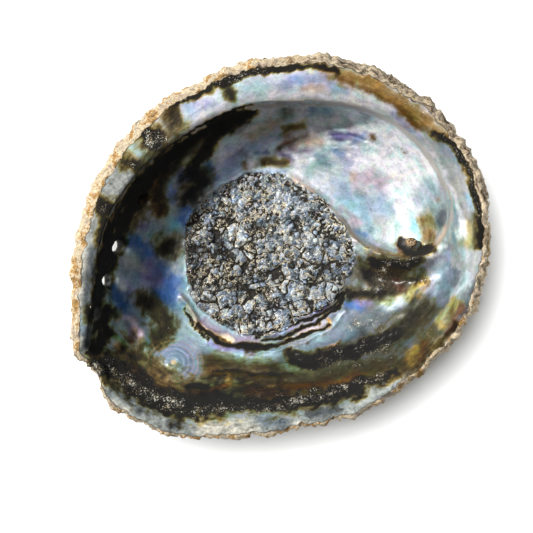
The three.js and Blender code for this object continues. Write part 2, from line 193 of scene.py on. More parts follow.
# What colours the inside, painted in this order. Most strokes are the shell's own colours; some, marked
# below, are painted highlights, painted light and painted shade. Each stroke is a tone, its half width,
# then x, y of each point. "shelf" strokes are on top of the shelf, "bowl" strokes on the cavity's floor
# and walls, and "inside" strokes on both.
STROKES = {
    "shelf": (
        ("pearl", 12, -30, 46, 0, 58, 30, 54, 50, 44, 66, 30),
        ("ash", 8, -75, -48, -75, -30, -73, -12, -70, 5, -64, 18, -55, 28, -48, 34),
        ("ivory", 2.8, -78, -48, -79, -35, -78, -18, -77, -8, -75, 2, -71, 14, -65, 23),
        # painted shade: the inner half of the left shelf darker, where its top rolls down away from the light
        ("slate", 2.0, -74.4, -44, -74.2, -30, -73, -16, -71, -8),
        ("ash", 1.4, -75.8, -40, -76, -28, -75, -16),
        ("cream", 3.0, -78, -50, -78.4, -44),
        ("ice", 3.0, -67, 18, -60, 22),
        ("steel", 2.6, -56, 24, -51, 28, -47, 29.5),
        ("slate", 2.2, -70, 8, -66, 4),
        ("sky", 3.0, -34, 48, -30, 45.5),
        ("lavender", 2.2, -29, 49, -24, 48),
        ("ice", 3.0, -22, 52, -12, 54),
        ("mist", 4.0, -10, 57, -2, 57.5),
        ("lavender", 3.0, 4, 56.5, 10, 58.5, 15, 60),
        ("azure", 1.4, 7, 58, 9, 58.6),
        ("sky", 1.6, 16, 59.5, 17, 58),
        ("beige", 2.2, 12, 54, 18, 54),
        ("lavender", 3.0, 20, 59, 24, 55),
        ("sky", 2.2, 23, 56, 27, 53),
        (
            "pearl", 1.9, -32, 42.6, -16, 48.4, 0, 51.6, 15, 51.8, 26, 50.6, 35, 48.2, 42, 45, 48,
            41.6, 54, 37.2,
        ),
        ("lavender", 1.3, 46, 46, 50, 42.8, 54, 39, 57, 36.4),
        ("cream", 1.0, 13.4, 62),
        ("olive", 3.2, -41, 46.5, -39, 43),
        ("olive", 2.0, -42, 41, -40, 38.6, -38.4, 36.4),
        ("olive", 2.5, -18.6, 55.5, -18, 52.4),
        ("rust", 2.2, -44, 36, -43, 33.6),
        ("gold", 3.2, 20, 62.8, 28, 60, 34, 58, 40, 55.4, 46, 52, 50, 49, 55, 45, 60, 40.6, 66, 36.6),
        ("amber", 1.2, 24, 60, 32, 56, 40, 52.6, 46, 49, 50, 46.2, 55, 42, 59, 39),
        ("tan", 1.2, 44, 54.6, 50, 51.6, 56, 47, 60, 43.4),
        ("ash", 0.8, 18, 64.8, 30, 62.6, 40, 59.6, 48, 55.4, 54, 51.2, 60, 46.4),
        ("ash", 4.4, 61, 35, 67, 28, 71, 20, 74.5, 12, 76, 6),
        ("steel", 1.6, 64, 35, 69, 30, 72, 25),
        ("sky", 1.2, 76, 14, 77.4, 9),
    ),
    "bowl": (
        ("slate", 50, 60, -30, 40, -50),
        ("teal", 26, -55, -30, -30, -50),
        # painted shade: a dark grey band under the shelf's edge at the upper left
        ("dusk", 7, -56, 14, -44, 26, -30, 36),
        # painted light: whitened above the scar, which lies in the main light's shadow
        ("white", 13, -12, 32, 4, 38, 14, 32),
        ("ice", 24, 44, 20),
        ("moss", 7, -24, -53, -6, -56, 10, -58),
        ("slate", 9, 30, -37, 42, -35, 54, -27),
        ("slate", 5, 58, -27, 66, -19),
        ("dusk", 4.6, 30, -45, 40, -41, 50, -35, 57, -28, 61, -21),
        ("dusk", 7, 42, -18, 52, -20),
        # right of the scar and along the outer lip
        ("slate", 6, 62, -27, 56, -35, 50, -42),
        ("mist", 2.6, 67, -11, 63, -18, 60, -22),
        ("steel", 2.4, 70, -13, 68, -20, 64, -26),
        # painted highlight: a soft bright streak on the wall inside the right rim
        ("ice", 1.8, 76.5, -11, 75.5, -18, 73, -23, 70, -26.5),
        ("ash", 1.5, 79.5, -12, 78.5, -18),
        ("lavender", 1.8, 70.5, -6.5, 69, -10),
        ("straw", 1.3, 58.6, -19, 55, -24, 52, -27),
        ("tan", 1.1, 60.6, -20, 57, -26),
        ("mist", 2.4, 44, -29.6, 49, -28),
        ("slate", 3.5, 40, -40, 45, -37),
        ("slate", 3.2, 55, -46, 50, -51),
        ("straw", 1.7, 70, -27.5, 67, -32.5, 64.5, -36.5),
        ("rust", 1.3, 72, -29.5, 69.6, -35.5, 66.5, -40.5),
        ("ice", 0.6, 67.8, -30.6, 66.4, -35.4),
        ("olive", 3.0, 60, -41, 57.5, -46, 55, -51, 49, -54.5, 43, -56.5),
        ("amber", 1.7, 59, -45, 55.6, -50),
        ("straw", 1.4, 55, -47, 52, -51.6),
        ("pearl", 1.5, 64, -45.2, 66, -43.6),
        ("slate", 2.4, 38, -51, 30, -53.4, 22, -56, 14, -58),
        ("olive", 2.4, 42, -55, 33, -57, 25, -59, 15, -61.6, 5, -62.6, -6, -62.4, -14, -63),
        ("amber", 1.0, 36, -56.6, 26, -59, 15, -61, 4, -62),
        ("teal", 1.7, 4.6, -53.8, 9, -55, 13, -55.8),
        ("ash", 0.7, -6, -61, -1, -61.6),
        ("slate", 1.5, 6, -58.6, 14, -58.2),
        ("olive", 3.0, -30, -52.5, -22, -51.5, -14, -52.6, -6, -53.2),
        ("olive", 1.4, -26, -57.4, -14, -57.8, -4, -58.8),
        ("tan", 0.9, -29, -56.4, -22, -54.4),
        ("amber", 1.5, -37, -63.6, -30, -64.6, -24, -63.2, -18, -61.4),
        ("orange", 0.7, -26, -63, -19, -61),
        ("amber", 1.6, -42, -63, -48, -61, -53, -57.6, -57, -53),
        ("cream", 0.8, -19.6, -58.8, -18, -61),
        ("amber", 2.4, -10, -63.6, 2, -64.4),
        # terraces under the scar
        ("teal", 2.4, -36, -37, -30, -43, -22, -47.4, -12, -50, -4, -49.6, 4, -47),
        ("mint", 4.0, -38, -38, -34, -44),
        ("teal", 2.4, 7, -47.4, 12, -47.6, 18, -44),
        ("steel", 2.4, 18, -46, 24, -43, 30, -40),
        ("steel", 2.6, 24, -38, 28, -34.4, 31, -33),
        ("violet", 1.4, -26, -44.6, -18, -46.8, -10, -48.6),
        ("mauve", 2.0, -29, -37, -24, -40.4, -17, -43, -8, -44),
        ("beige", 0.8, -30, -38, -24, -41.8, -17, -43.8),
        ("lavender", 1.6, 0, -41.4, 8, -38.6, 16, -35, 23, -31.4),
        ("rose", 1.0, 4, -43.4, 12, -40.8, 19, -36.6),
        ("violet", 0.9, 6, -36, 14, -33.2, 21, -30.4),
        ("mist", 1.0, 6, -45.4, 14, -42.6, 21, -38.6, 27, -33),
        ("tan", 1.2, -38.4, -26.6, -34.4, -31, -32.4, -36, -29.6, -40),
        ("orange", 1.1, -39.4, -27.4),
        ("orange", 0.9, 20.6, -35.6, 20.8, -38),
        ("olive", 0.7, 13, -44.8),
        ("rose", 0.6, 21.6, -47.4, 25, -45.6),
        ("olive", 1.4, 4.4, -48.4, 6, -48),
        ("blue", 1.6, 29.4, -28.4, 34, -30.4),
        ("violet", 1.2, 32, -28, 38, -28.4),
        ("slate", 3.4, 33, -35.6, 38, -37, 42, -35.4),
        # blister and the lower left
        ("lavender", 9.0, -41, -53),
        ("azure", 6.6, -41, -53),
        ("rose", 2.6, -46.6, -56, -43, -58),
        ("sky", 1.6, -37, -43.6, -32.6, -48, -31.6, -53),
        ("mint", 1.4, -45, -45.4, -39, -43.6),
        ("sky", 4.8, -41, -53),
        ("mauve", 4.2, -57, -38.4, -56, -42.6),
        ("rose", 1.0, -62, -35, -57.4, -35.6, -54.4, -39, -53.4, -43.6),
        ("teal", 2.0, -51, -42, -50, -46),
        ("green", 1.0, -64, -42.2, -60.4, -44.6),
        ("mint", 1.0, -62, -38, -59, -40.4),
        ("beige", 1.2, -64, -45, -62.6, -47.2),
        ("sky", 1.1, -67, -44, -69, -49.6),
        ("olive", 2.8, -62.4, -48, -58, -49.4),
        ("amber", 2.0, -72, -46, -71, -50),
        # the shaded left side
        ("teal", 2.8, -40, -31, -37, -33.6),
        ("steel", 7.0, -58, -16, -52, -24),
        ("blue", 4.6, -46, -17, -43.4, -22, -43, -27),
        ("violet", 3.0, -52, -18, -48, -19.4),
        ("lavender", 3.0, -58, -21.4, -54, -24, -56, -28),
        ("deep", 3.8, -63, -25.4, -61, -29.6),
        ("blue", 2.0, -67, -20.4, -65, -22.4),
        ("ice", 1.3, -63, -17, -61, -22),
        ("deep", 2.2, -46.4, -25.6, -45, -28.4),
        ("moss", 3.2, -53, -27.4, -49, -31),
        ("moss", 4.2, -46, -33.4, -43.6, -37.6, -46.6, -41),
        ("olive", 1.4, -48.4, -44),
        ("ash", 3.2, -58, -11.6, -54, -12.4),
        ("blue", 3.4, -58, -4, -54, -6, -51, -8.6),
        ("violet", 2.2, -50.4, -13),
        ("moss", 6.2, -42, -6.4),
        ("teal", 2.6, -49, 1.4),
        ("violet", 2.2, -54, 2.6),
        ("cyan", 2.6, -39, 2.6, -41, 3),
        ("blue", 3.4, -36, 3.6, -34.4, 8),
        ("cyan", 1.3, -33, 4, -31, 8, -27, 12),
        ("amber", 3.2, -46, 6.6, -47.6, 12, -47, 17.6, -48.6, 22),
        ("amber", 2.0, -60, 3, -57.4, 9, -54.6, 15),
        ("orange", 0.7, -53.4, 12, -52, 14),
        ("azure", 2.7, -42.6, 17.4, -41.4, 14.4),
        ("navy", 4.8, -34, 14, -29, 20, -34, 22),
        ("blue", 2.2, -27.4, 26.4, -24, 21.4),
        ("ash", 1.7, -37, 27, -31, 29.8, -27, 31.6),
        ("azure", 1.2, -34, 25.4, -28, 27.4),
        ("umber", 3.0, -26, 38, -12, 43.6),
        # above the scar
        # painted light: a paler band along the lit side of the main light's shadow edge
        ("mist", 3.4, -15, 28, -9, 35.6, -1, 41.6, 7, 46),
        ("lavender", 3.6, -16, 31, -18, 27, -20.6, 22.6),
        ("sky", 1.4, -24, 17.6, -20.6, 21),
        ("beige", 1.2, -26, 12.2, -22, 15.6, -17.4, 18.4),
        ("amber", 1.5, -12, 27.4, -11.6, 24.6),
        ("mauve", 1.3, -14, 33, -11.6, 30.4),
        ("sky", 2.8, -10, 33.6, -4, 36, 1, 39, 6, 41),
        ("lilac", 2.0, -5, 37.4, -1, 36.8),
        ("beige", 2.2, -10, 38.6, -5, 41.4, 2, 44.4),
        ("cream", 0.5, -1.6, 43.8),
        ("olive", 2.4, 4.6, 47.6, 9, 47.4),
        ("slate", 1.8, 12.6, 44.4, 17, 43, 21.4, 42),
        ("tan", 2.4, 5, 39.6, 10, 41),
        ("mauve", 2.2, 7, 33, 13.4, 32.6),
        ("rust", 1.4, 1.4, 33.6, 5, 35.4, 9, 37.2, 12, 38.6),
        ("beige", 1.8, 9, 35, 15, 36.4, 18, 36),
        ("azure", 1.1, -8, 31, -4, 32),
        ("violet", 1.3, 3, 30.4, 6.4, 29),
        ("olive", 2.4, -5.4, 28, 0, 27.2, 3.6, 27.2),
        ("beige", 1.0, -8, 26.4),
        ("amber", 0.9, 5.6, 28),
        ("sky", 1.6, -13, 21.6, -5, 23.4, 3, 23.6),
        ("beige", 1.2, 7, 20.6, 10.4, 18.4, 14.6, 16.2),
        ("ice", 3.6, 12, 26, 17, 26.4, 21.4, 22),
        ("mint", 2.4, 13, 24, 18, 27),
        # the spire's chamber
        # painted light: the band under the shelf's edge at the top right whitened against the shadow there
        ("white", 6, 14, 47, 26, 46, 38, 41, 48, 35, 56, 28),
        ("sky", 1.8, 14, 48.8, 19, 47.6, 25, 48),
        ("pearl", 2.2, 27.4, 45, 25, 49, 30, 42.6),
        ("ash", 1.2, 34, 46.4, 36, 45),
        # painted light: more of that band whitened
        ("white", 3.4, 42, 42, 50, 37),
        ("violet", 1.6, 23, 38.6, 30, 38.6, 34, 37),
        ("azure", 1.2, 31.4, 36, 34.6, 38),
        ("azure", 2.0, 24.4, 32.6, 28, 30.4),
        ("lavender", 3.0, 29, 26.6, 33.4, 30),
        ("mist", 3.0, 42, 35, 47, 32.6),
        ("lavender", 2.2, 53.4, 33, 56, 30),
        # painted highlight: a broad white patch in the chamber
        ("white", 7.0, 39, 27, 46, 26, 50, 21),
        # painted highlight
        ("white", 3.6, 56, 34, 61, 27),
        ("rose", 3.0, 34, 18.6, 38.6, 22, 44, 18.4),
        ("sky", 3.0, 28, 15.4, 31, 11),
        ("beige", 1.4, 31, 20.6),
        ("sky", 3.4, 26, 18, 29, 12, 33, 7, 38, 3),
        ("sky", 4.0, 36, 9, 41, 12, 45, 8),
        # painted highlight
        ("white", 3.6, 49, 17, 52, 13, 54, 9),
        # painted highlight
        ("white", 2.6, 61.6, 24, 64, 20),
        ("mist", 3.0, 58, 13, 61.4, 16.4),
        ("ash", 3.6, 42, 3, 47, 2.4),
        ("ice", 2.6, 54, 6, 50, 5),
        ("cyan", 1.6, 55.4, 3, 56.6, -1.4),
        ("tan", 2.6, 60.4, 6.4, 62, 2, 60.6, -3),
        ("slate", 1.8, 66.8, 7, 66, 2.6),
        ("rose", 1.3, 66, 16.6),
        ("tan", 0.9, 64.6, 12.6),
        ("amber", 1.1, 37.8, 38, 38.2, 36.4),
        ("tan", 0.6, 51.6, 31.6),
        ("tan", 0.6, 50.8, 33),
        ("teal", 2.4, 18, 31, 21, 27),
        # the ridge and the lip round the pit
        ("pearl", 1.4, 22, 11.6, 27, 7.4, 32, 3.6),
        ("rose", 1.2, 26, 9.6, 33, 3),
        ("lilac", 0.8, 34, -0.8, 38, -3, 41, -5),
        ("azure", 0.7, 33, 0.4, 36.4, -2),
        ("pearl", 1.8, 24, 2, 27.4, -2, 30, -6, 35, -8.6),
        (
            "tan", 0.9, 26.4, 4.2, 29, 1, 31.4, -2.4, 34.6, -5, 39.6, -6.8, 44, -8.6, 49, -9.4, 56,
            -9.6, 62, -6.8,
        ),
        ("rust", 1.1, 49, -4, 50, -8, 52, -2.4),
        ("beige", 0.8, 64.4, -5, 66.8, -1.4, 68.6, 3),
        ("lavender", 2.0, 36, -10.6, 38.6, -13.4),
        ("umber", 2.8, 35.6, -16.6, 38, -18),
        ("olive", 3.2, 42.4, -16, 44.6, -20, 47, -17),
        ("rust", 1.8, 48.4, -20.6, 50, -23),
        ("steel", 2.0, 52.4, -18.6, 55, -16.6),
        ("pearl", 0.8, 60, -10.6, 63.6, -9.2, 66, -6.6),
    ),
    "inside": (
        # painted highlight: a bright line along the rounded edge of the shelf at the right
        ("pearl", 1.1, 58.8, 33.4, 62, 28.4, 65.4, 23, 68.2, 17, 70.6, 11, 72, 5, 72.6, -2),
        ("teal", 0.8, 69.2, 12, 70.8, 6, 71, 0, 70.4, -4),
        ("straw", 2.8, 75.6, 1, 75.6, -4.6),
        ("olive", 1.5, 78.4, 6, 78.8, 0, 78.4, -6),
        ("white", 1.3, 72.8, 3, 73.2, -2),
        ("ice", 1.4, 73.4, -8, 75, -11),
    ),
}

# How thick the dark horny layer lies over the pearl, by the same kind of stroke, with a strength for a tone.
# Some strokes, marked below, are painted shade, in whole or in part. From thin to thick it is olive, amber,
# brown and black. "all" strokes are on every side of the shell, so that they reach under the shelf's edge.
HORN_AND_SHADE = {
    "shelf": (
        (1.0, 2.0, -45, 47.4, -39, 50, -33, 52.8, -26, 56, -18, 58.8, -10, 61.4, -2, 63, 4, 63.4),
        (0.8, 1.3, 4, 63.6, 10, 64.2, 17, 63.8, 24, 61.8),
        (0.5, 3.6, -41, 45, -39, 41),
        (0.5, 2.4, -18.6, 55.5, -18, 52.4),
        (0.85, 4.6, -50, 36, -46.6, 34.8),
        (0.6, 3.4, -58, 27.4, -53.6, 25.6),
        (0.75, 3.6, -68, 9.6, -65, 8),
        (0.6, 2.2, -66, 4, -69, -4),
        (0.27, 3.4, 22, 61.6, 32, 58.4, 42, 54.2, 50, 49, 57, 43.4, 64, 38),
        (0.8, 1.5, 62, 38, 67.6, 34.6, 72, 29.4, 75.4, 24, 77.6, 18, 79.4, 11, 80.4, 3, 80.4, -6),
    ),
    "bowl": (
        (1.0, 4.8, -68, -53.6, -61, -55.4, -55, -60.6, -48, -65, -40, -68, -31, -68.6, -22, -68),
        (1.0, 3.0, -24, -68, -12, -68.4, 0, -68.4, 12, -67, 22, -64.6, 32, -62),
        (0.8, 2.0, 30, -60.4, 40, -58.8, 47, -56),
        (0.55, 7, -58, -50, -48, -60, -34, -65, -16, -64, 2, -64),
        (0.42, 5, -26, -54, -10, -56, 8, -59, 24, -58),
        (0.42, 4.2, 24, -57, 38, -54, 52, -52, 60, -46),
        (0.26, 3, 60, -44, 66, -36, 71, -28),
        (0.95, 2.9, 7, -50, 14, -52.2, 22, -50.4, 31, -47.6, 39, -44.6, 47, -41.4),
        (0.5, 4.6, 42, -44, 52, -38, 58, -31),
        (1.0, 0.8, *GROOVES[0]),
        (1.0, 1.5, -14, -46, -4, -46.8),
        (1.0, 0.6, *GROOVES[1]),
        (1.0, 0.6, *GROOVES[3]),
        (1.0, 0.6, *GROOVES[2]),
        (1.0, 0.6, *GROOVES[4]),
        (0.9, 0.5, -36, -31, -34.4, -35, -31.6, -39.4, -27, -43.4),
        # partly the horny layer, partly painted shade: the black band under the shelf's edge round the left
        (0.8, 3.4, -14, 46.6, -26, 42.2, -38, 34, -48, 23.6, -56, 11, -62, -1, -67, -13, -71, -25, -74, -38),
        (0.6, 0.9, -24, -56.6, -14, -55.4, -7, -56.8, 0, -57.6, 6, -57),
        (0.6, 0.8, -30, -58.6, -20, -58.8, -10, -59.4),
        (1.0, 1.6, -34, -62, -27, -62),
        # painted shade: a dark band inside the main light's shadow at the upper left, along its edge
        (0.8, 2.6, -10, 47.6, -20, 41.4, -28, 33, -34, 24),
        (0.5, 4.4, -34, 14, -29, 22),
        (0.4, 2.0, 4, 41, 11, 42.4),
        (0.4, 2.0, -4, 27.6, 3, 27),
        (0.5, 7.0, 40, -15, 44, -21, 50, -17),
        (0.6, 2.2, 46, -18),
        (0.5, 2.4, 44, -19.4, 50, -19.8, 58, -18.6),
        (0.6, 2.4, 42, -24, 35, -25.4, 30, -25.2),
        (0.8, 2.4, 37, -17),
        # painted shadow: the dark bar under the lip in front of the pit
        (0.75, 2.4, 38, -12, 44, -13, 50, -13.4, 56, -12.4),
        # painted shade: the pit under the lip black
        (1.0, 1.9, 50.6, -5, 52, -7.6, 55, -9, 58.6, -8.2, 61, -6.4),
        (0.3, 3.0, 60, 4, 61, -1, 60.6, -4),
        (0.9, 2.6, -66.6, -40, -70, -44, -72, -48),
        (0.8, 4.0, -68, -33, -70, -38),
        (0.55, 4.6, -43, -6.4),
        (0.5, 4.0, -53, -27.4, -48, -32, -44.6, -38, -47, -43),
        (0.5, 4.6, -60, 2, -56, 10, -50, 20, -42, 29),
        (0.55, 3.2, -46, 8, -47, 18, -43, 25),
        (0.5, 1.6, 70, -36, 66, -41.6, 62.4, -45.6),
        (0.6, 2.4, -60, -47, -54, -54),
    ),
    "all": (
        # partly the horny layer, partly painted shade: a black band just inside and under the shelf's edge
        (
            1.0, 1.4, -11.6, 46.7, -25, 41.5, -37.5, 33.7, -49, 25, -57.2, 15.3, -63.6, 4.5, -67.7,
            -9.5, -71, -34,
        ),
        # painted shade: the walls of the holes along the left side darkened, so that the holes look dark
        (0.5, 3.6, -63.4, -5.4),
        (0.6, 3.4, -67.4, -18.6),
        (0.7, 3.4, -71.4, -32.4),
        (0.7, 2.6, -53.6, 13),
    ),
}

# How thickly white flecks lie, by strokes with a strength.
FLECKS = {
    "shelf": (
        (1.0, 4.0, -49, 35.4, -42, 34.4),
        (0.8, 3.6, -57, 26),
        (0.9, 3.4, -67, 8.6),
        (0.9, 2.2, -22, 57.6, -4, 62),
        (0.6, 3.0, -38, 44),
        (0.7, 2.0, 40, 58, 60, 44),
        (0.8, 1.8, 66, 36, 76, 23, 80, 4),
    ),
    "bowl": (
        (1.0, 4.0, -72, -53, -64, -55, -56, -61, -46, -66, -38, -69),
        (0.9, 3.0, -32, -71, -20, -70, -8, -71, 2, -69.6, 12, -66, 24, -62.6, 34, -60, 42, -58),
        (0.6, 2.4, -16, -65, 0, -65, 14, -64),
        (0.8, 5.6, 32, -36, 42, -36),
        (0.7, 7, 20, -52, 44, -46),
        (1.0, 3.6, 42, -21, 44, -14),
        (0.9, 2.0, 44, -11.6, 56, -12),
        (0.8, 2.4, 65, -33, 60, -42),
        (0.9, 2.6, 36, -22.6),
        (0.45, 16, -54, -20, -44, -36),
        (0.45, 8, -10, 32, 4, 38),
    ),
}

# The shelf's pale edge line, where it runs on round the mouth of the spire: half width, then its points.
EDGE_LINE = (
    (0.4, 66.2, 19, 68, 15.6, 69.2, 11.5, 69.6, 7.5, 68.8, 3, 67, -1, 64.6, -4.6, 61.6, -7.6),
    (
        0.45, 61.6, -7.6, 57, -9.9, 50, -10, 44, -8.6, 39, -6.6, 34, -3.6, 30, 0.4, 26, 5.4, 22,
        9.6, 18.6, 12.6,
    ),
)

# Where the pearl is weathered to dull chalk, by strokes with a tone; one, marked below, is painted shade.
CHALK_AND_SHADE = {
    "bowl": (
        ("chalk", 4.4, -67, -62.6, -58, -69, -49, -74, -39, -77.6, -26, -79, -12, -78.4, 0, -78, 12, -77),
        ("chalk", 3.2, 10, -76.6, 20, -74.6, 29, -70.4, 37, -65.6, 42, -62),
        ("ivory", 3.0, -29, -77.6, -19, -77.6, -10, -78.6),
        ("ivory", 1.8, 5, -77.6, 12, -76),
        ("ivory", 1.6, -64, -68, -58, -72.6),
        ("steel", 2.6, -62, -62, -52, -68, -44, -71.4),
        ("steel", 1.8, -6, -74.6, 4, -75),
        ("slate", 2.2, 14, -72.6, 19, -71, 22, -70.6),
        ("slate", 1.5, -53.4, -71, -52.6, -70.4),
        ("dusk", 2.4, -40.6, -76.4, -39, -75.6),
        ("olive", 0.8, -51, -75.4),
        ("pearl", 2.0, 43, -58.4, 47, -57.4),
        ("ash", 2.2, 63, -46, 66, -43.6),
    ),
    "shelf": (
        ("ash", 4.4, -76, -46, -75.6, -30, -74, -14, -71, 2, -65, 15, -58, 23),
        # painted shade: the inner half of the left shelf darker, where its top rolls down away from the light
        ("slate", 1.9, -74, -44, -73.8, -30, -72.4, -16, -70.6, -8),
        ("ivory", 1.7, -78.4, -48, -78.6, -34, -77.4, -18, -75, 0, -70, 12),
        ("sky", 1.6, -76, -38, -75.6, -34),
    ),
}


# ---------------------------------------------------------------- numbers over the shell's surface

def smooth(low, high, value):
    """0 below low, 1 above high, and an even slope between."""
    share = np.clip((value - low) / (high - low), 0, 1)
    return share * share * (3 - 2 * share)


OCTAVES = (0.8, 2.1)  # how much weaker and how much finer each octave of noise is than the one before


def cloudy(points, size, octaves=3, shift=0.0):
    """Noise of about -1 to 1 whose features are about size across."""
    away = Vector((shift, 2 * shift, -shift))
    return np.array([noise.fractal(Vector(p) / size + away, *OCTAVES, octaves) for p in points])


def pebbles(points, size):
    """Cells about size across, as height (1 in the middle), gap (0 on the border) and a number for each."""
    rows = []
    for p in points:
        near, places = noise.voronoi(Vector(p) / size)
        rows.append((1 - near[0] ** 2, near[1] - near[0], noise.noise(places[0] * 5.3)))
    return np.array(rows).T


STEPS = 5  # how many pieces a path has from one of its points to the next
RAGGED = 0.55  # how far the edge of a stroke wanders, for a half width of 1
SOFT = 0.95  # how far the edge fades to each side, for a half width of 1
REACH = 2.6  # how far from its path a stroke is worked out, for a half width of 1


def route(numbers):
    """A smooth path through x, y, x, y..., as points closer together."""
    knots = np.array(numbers, float).reshape(-1, 2)
    if len(knots) < 3:
        return knots
    ends = np.vstack([2 * knots[0] - knots[1], knots, 2 * knots[-1] - knots[-2]])
    path = []
    for before, start, end, after in zip(ends, ends[1:], ends[2:], ends[3:]):
        bend = 2 * before - 5 * start + 4 * end - after
        twist = 3 * start - before - 3 * end + after
        for t in np.arange(STEPS) / STEPS:
            path.append(start + t * (end - before + bend * t + twist * t * t) / 2)
    return np.vstack([path, knots[-1]])


def distance_to(path, xy):
    """How far each point of xy is from a path."""
    best = np.full(len(xy), np.inf)
    starts, ends = (path, path) if len(path) == 1 else (path[:-1], path[1:])
    for start, end in zip(starts, ends):
        along = end - start
        length = max(along @ along, 1e-9)
        share = np.clip((xy - start) @ along / length, 0, 1)
        best = np.minimum(best, np.linalg.norm(xy - start - share[:, None] * along, axis=1))
    return best


def stroke(surface, width, numbers):
    """How much of each vertex a stroke covers: half at its half width, and a soft ragged edge there."""
    path = route(numbers)
    reach = REACH * width
    near = np.all((surface.xy > path.min(0) - reach) & (surface.xy < path.max(0) + reach), axis=1)
    cover = np.zeros(len(near))
    away = distance_to(path, surface.xy[near]) + RAGGED * width * surface.ragged[near]
    cover[near] = 1 - smooth(width * (1 - SOFT), width * (1 + SOFT), away)
    return cover


class Surface:
    """A shell mesh's vertices in millimetres, and where on the shell each one is."""

    def __init__(self, piece):
        mesh = piece.data
        self.at = read(mesh.vertices, "co") / MM
        self.normal = read(mesh.vertex_normals, "vector")
        x, y, _ = self.at.T
        self.radius = np.hypot(x, y)
        self.angle = np.degrees(np.arctan2(y, x)) % 360
        self.inset = self.rim_radius() - self.radius
        self.covered, outside = self.look(piece)
        self.outside = outside | (self.inset < 0)
        turns, radii = zip(*SHELF_EDGE)
        turn = np.where(self.angle > 360 + turns[0], self.angle - 360, self.angle)
        self.past_edge = self.radius - np.interp(turn, turns, radii, left=NO_SHELF, right=NO_SHELF)
        self.shelf = (self.past_edge > -SHELF_ROUND) & ~self.covered & ~self.outside
        self.bowl = ~self.shelf & ~self.outside
        warp = [cloudy(self.at, 7.0, 4, shift) * 1.3 for shift in (3, 9)]
        self.ragged = cloudy(self.at, 3.0, 4, 21)
        self.xy = np.column_stack([x + warp[0], y + warp[1]])
        self.plain_xy = np.column_stack([x, y])

    def rim_radius(self):
        """Radius of the rim's crest in each vertex's direction."""
        # the crest is at the highest vertex of each of many sectors, and the outer one where two are level
        bins = 240
        height = np.where(self.radius > 50, self.at[:, 2] + 0.25 * self.radius, -1)
        slot = (self.angle / 360 * bins).astype(int) % bins
        order = np.lexsort((height, slot))
        last = np.append(np.flatnonzero(np.diff(slot[order])), len(order) - 1)
        crest = self.radius[order[last]]
        spread = np.exp(-np.linspace(-2, 2, 5) ** 2 / 2)
        crest = np.convolve(np.tile(crest, 3), spread / spread.sum(), "same")
        middles = (np.arange(3 * bins) - bins + 0.5) * 360 / bins
        return np.interp(self.angle, middles, crest)

    def look(self, piece):
        """Which vertices have shell straight above them, and which have none straight below."""
        tree = BVHTree.FromObject(piece, bpy.context.evaluated_depsgraph_get())
        start = (self.at + self.normal * 0.2) * MM
        up, down = Vector((0, 0, 1)), Vector((0, 0, -1))
        covered = np.array([tree.ray_cast(Vector(p), up)[0] is not None for p in start])
        outside = np.array([tree.ray_cast(Vector(p), down)[0] is None for p in start])
        return covered, outside

    def on(self, layer):
        """The vertices that a layer of strokes is painted on."""
        sides = {"shelf": self.shelf, "bowl": self.bowl, "inside": ~self.outside, "all": self.radius > 0}
        return sides[layer]

    def from_blister(self):
        """How far each vertex is from the middle of the pearl blister."""
        x, y = (self.plain_xy - BLISTER).T
        return np.hypot(x / BLISTER_STRETCH, y)


def read(items, name):
    """A three-number property of mesh items, one row each."""
    values = np.empty(len(items) * 3)
    items.foreach_get(name, values)
    return values.reshape(-1, 3)


def keep(piece, name, values, kind="FLOAT"):
    """Stores one number or colour for each vertex, for the finish to read."""
    attribute = piece.data.attributes.new(name, kind, "POINT")
    field = "value"
    if kind == "FLOAT_COLOR":
        field = "color"
        values = np.column_stack([values, np.ones(len(values))])
    attribute.data.foreach_set(field, np.ravel(values).astype(np.float32))


# ---------------------------------------------------------------- meshes

def new_piece(name, bm):
    """A new object at the origin from a bmesh, smooth shaded."""
    for face in bm.faces:
        face.smooth = True
    mesh = bpy.data.meshes.new(name)
    bm.to_mesh(mesh)
    bm.free()
    piece = bpy.data.objects.new(name, mesh)
    bpy.context.scene.collection.objects.link(piece)
    return piece


def joined_copy(node, name):
    """A CAD node's mesh as a new piece, its loose triangles joined into four-sided faces."""
    bm = bmesh.new()
    bm.from_mesh(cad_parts[node].data)
    bmesh.ops.remove_doubles(bm, verts=bm.verts, dist=0.01 * MM)
    bmesh.ops.join_triangles(bm, faces=bm.faces, angle_face_threshold=0.4, angle_shape_threshold=0.8)
    bmesh.ops.recalc_face_normals(bm, faces=bm.faces)
    return new_piece(name, bm)


def settle(piece):
    """Makes a piece's mesh what its modifiers show, and takes them off."""
    bpy.context.view_layer.update()
    shown = piece.evaluated_get(bpy.context.evaluated_depsgraph_get())
    mesh = bpy.data.meshes.new_from_object(shown)
    piece.modifiers.clear()
    old = piece.data
    piece.data = mesh
    bpy.data.meshes.remove(old)


def rounded(piece, facet):
    """Gives a piece an even skin of small four-sided faces over its smoothed shape."""
    subdivision = piece.modifiers.new("Smooth shape", "SUBSURF")
    subdivision.levels = subdivision.render_levels = 2
    skin = piece.modifiers.new("Even skin", "REMESH")
    skin.mode = "VOXEL"
    skin.voxel_size = facet
    skin.use_smooth_shade = True
    settle(piece)


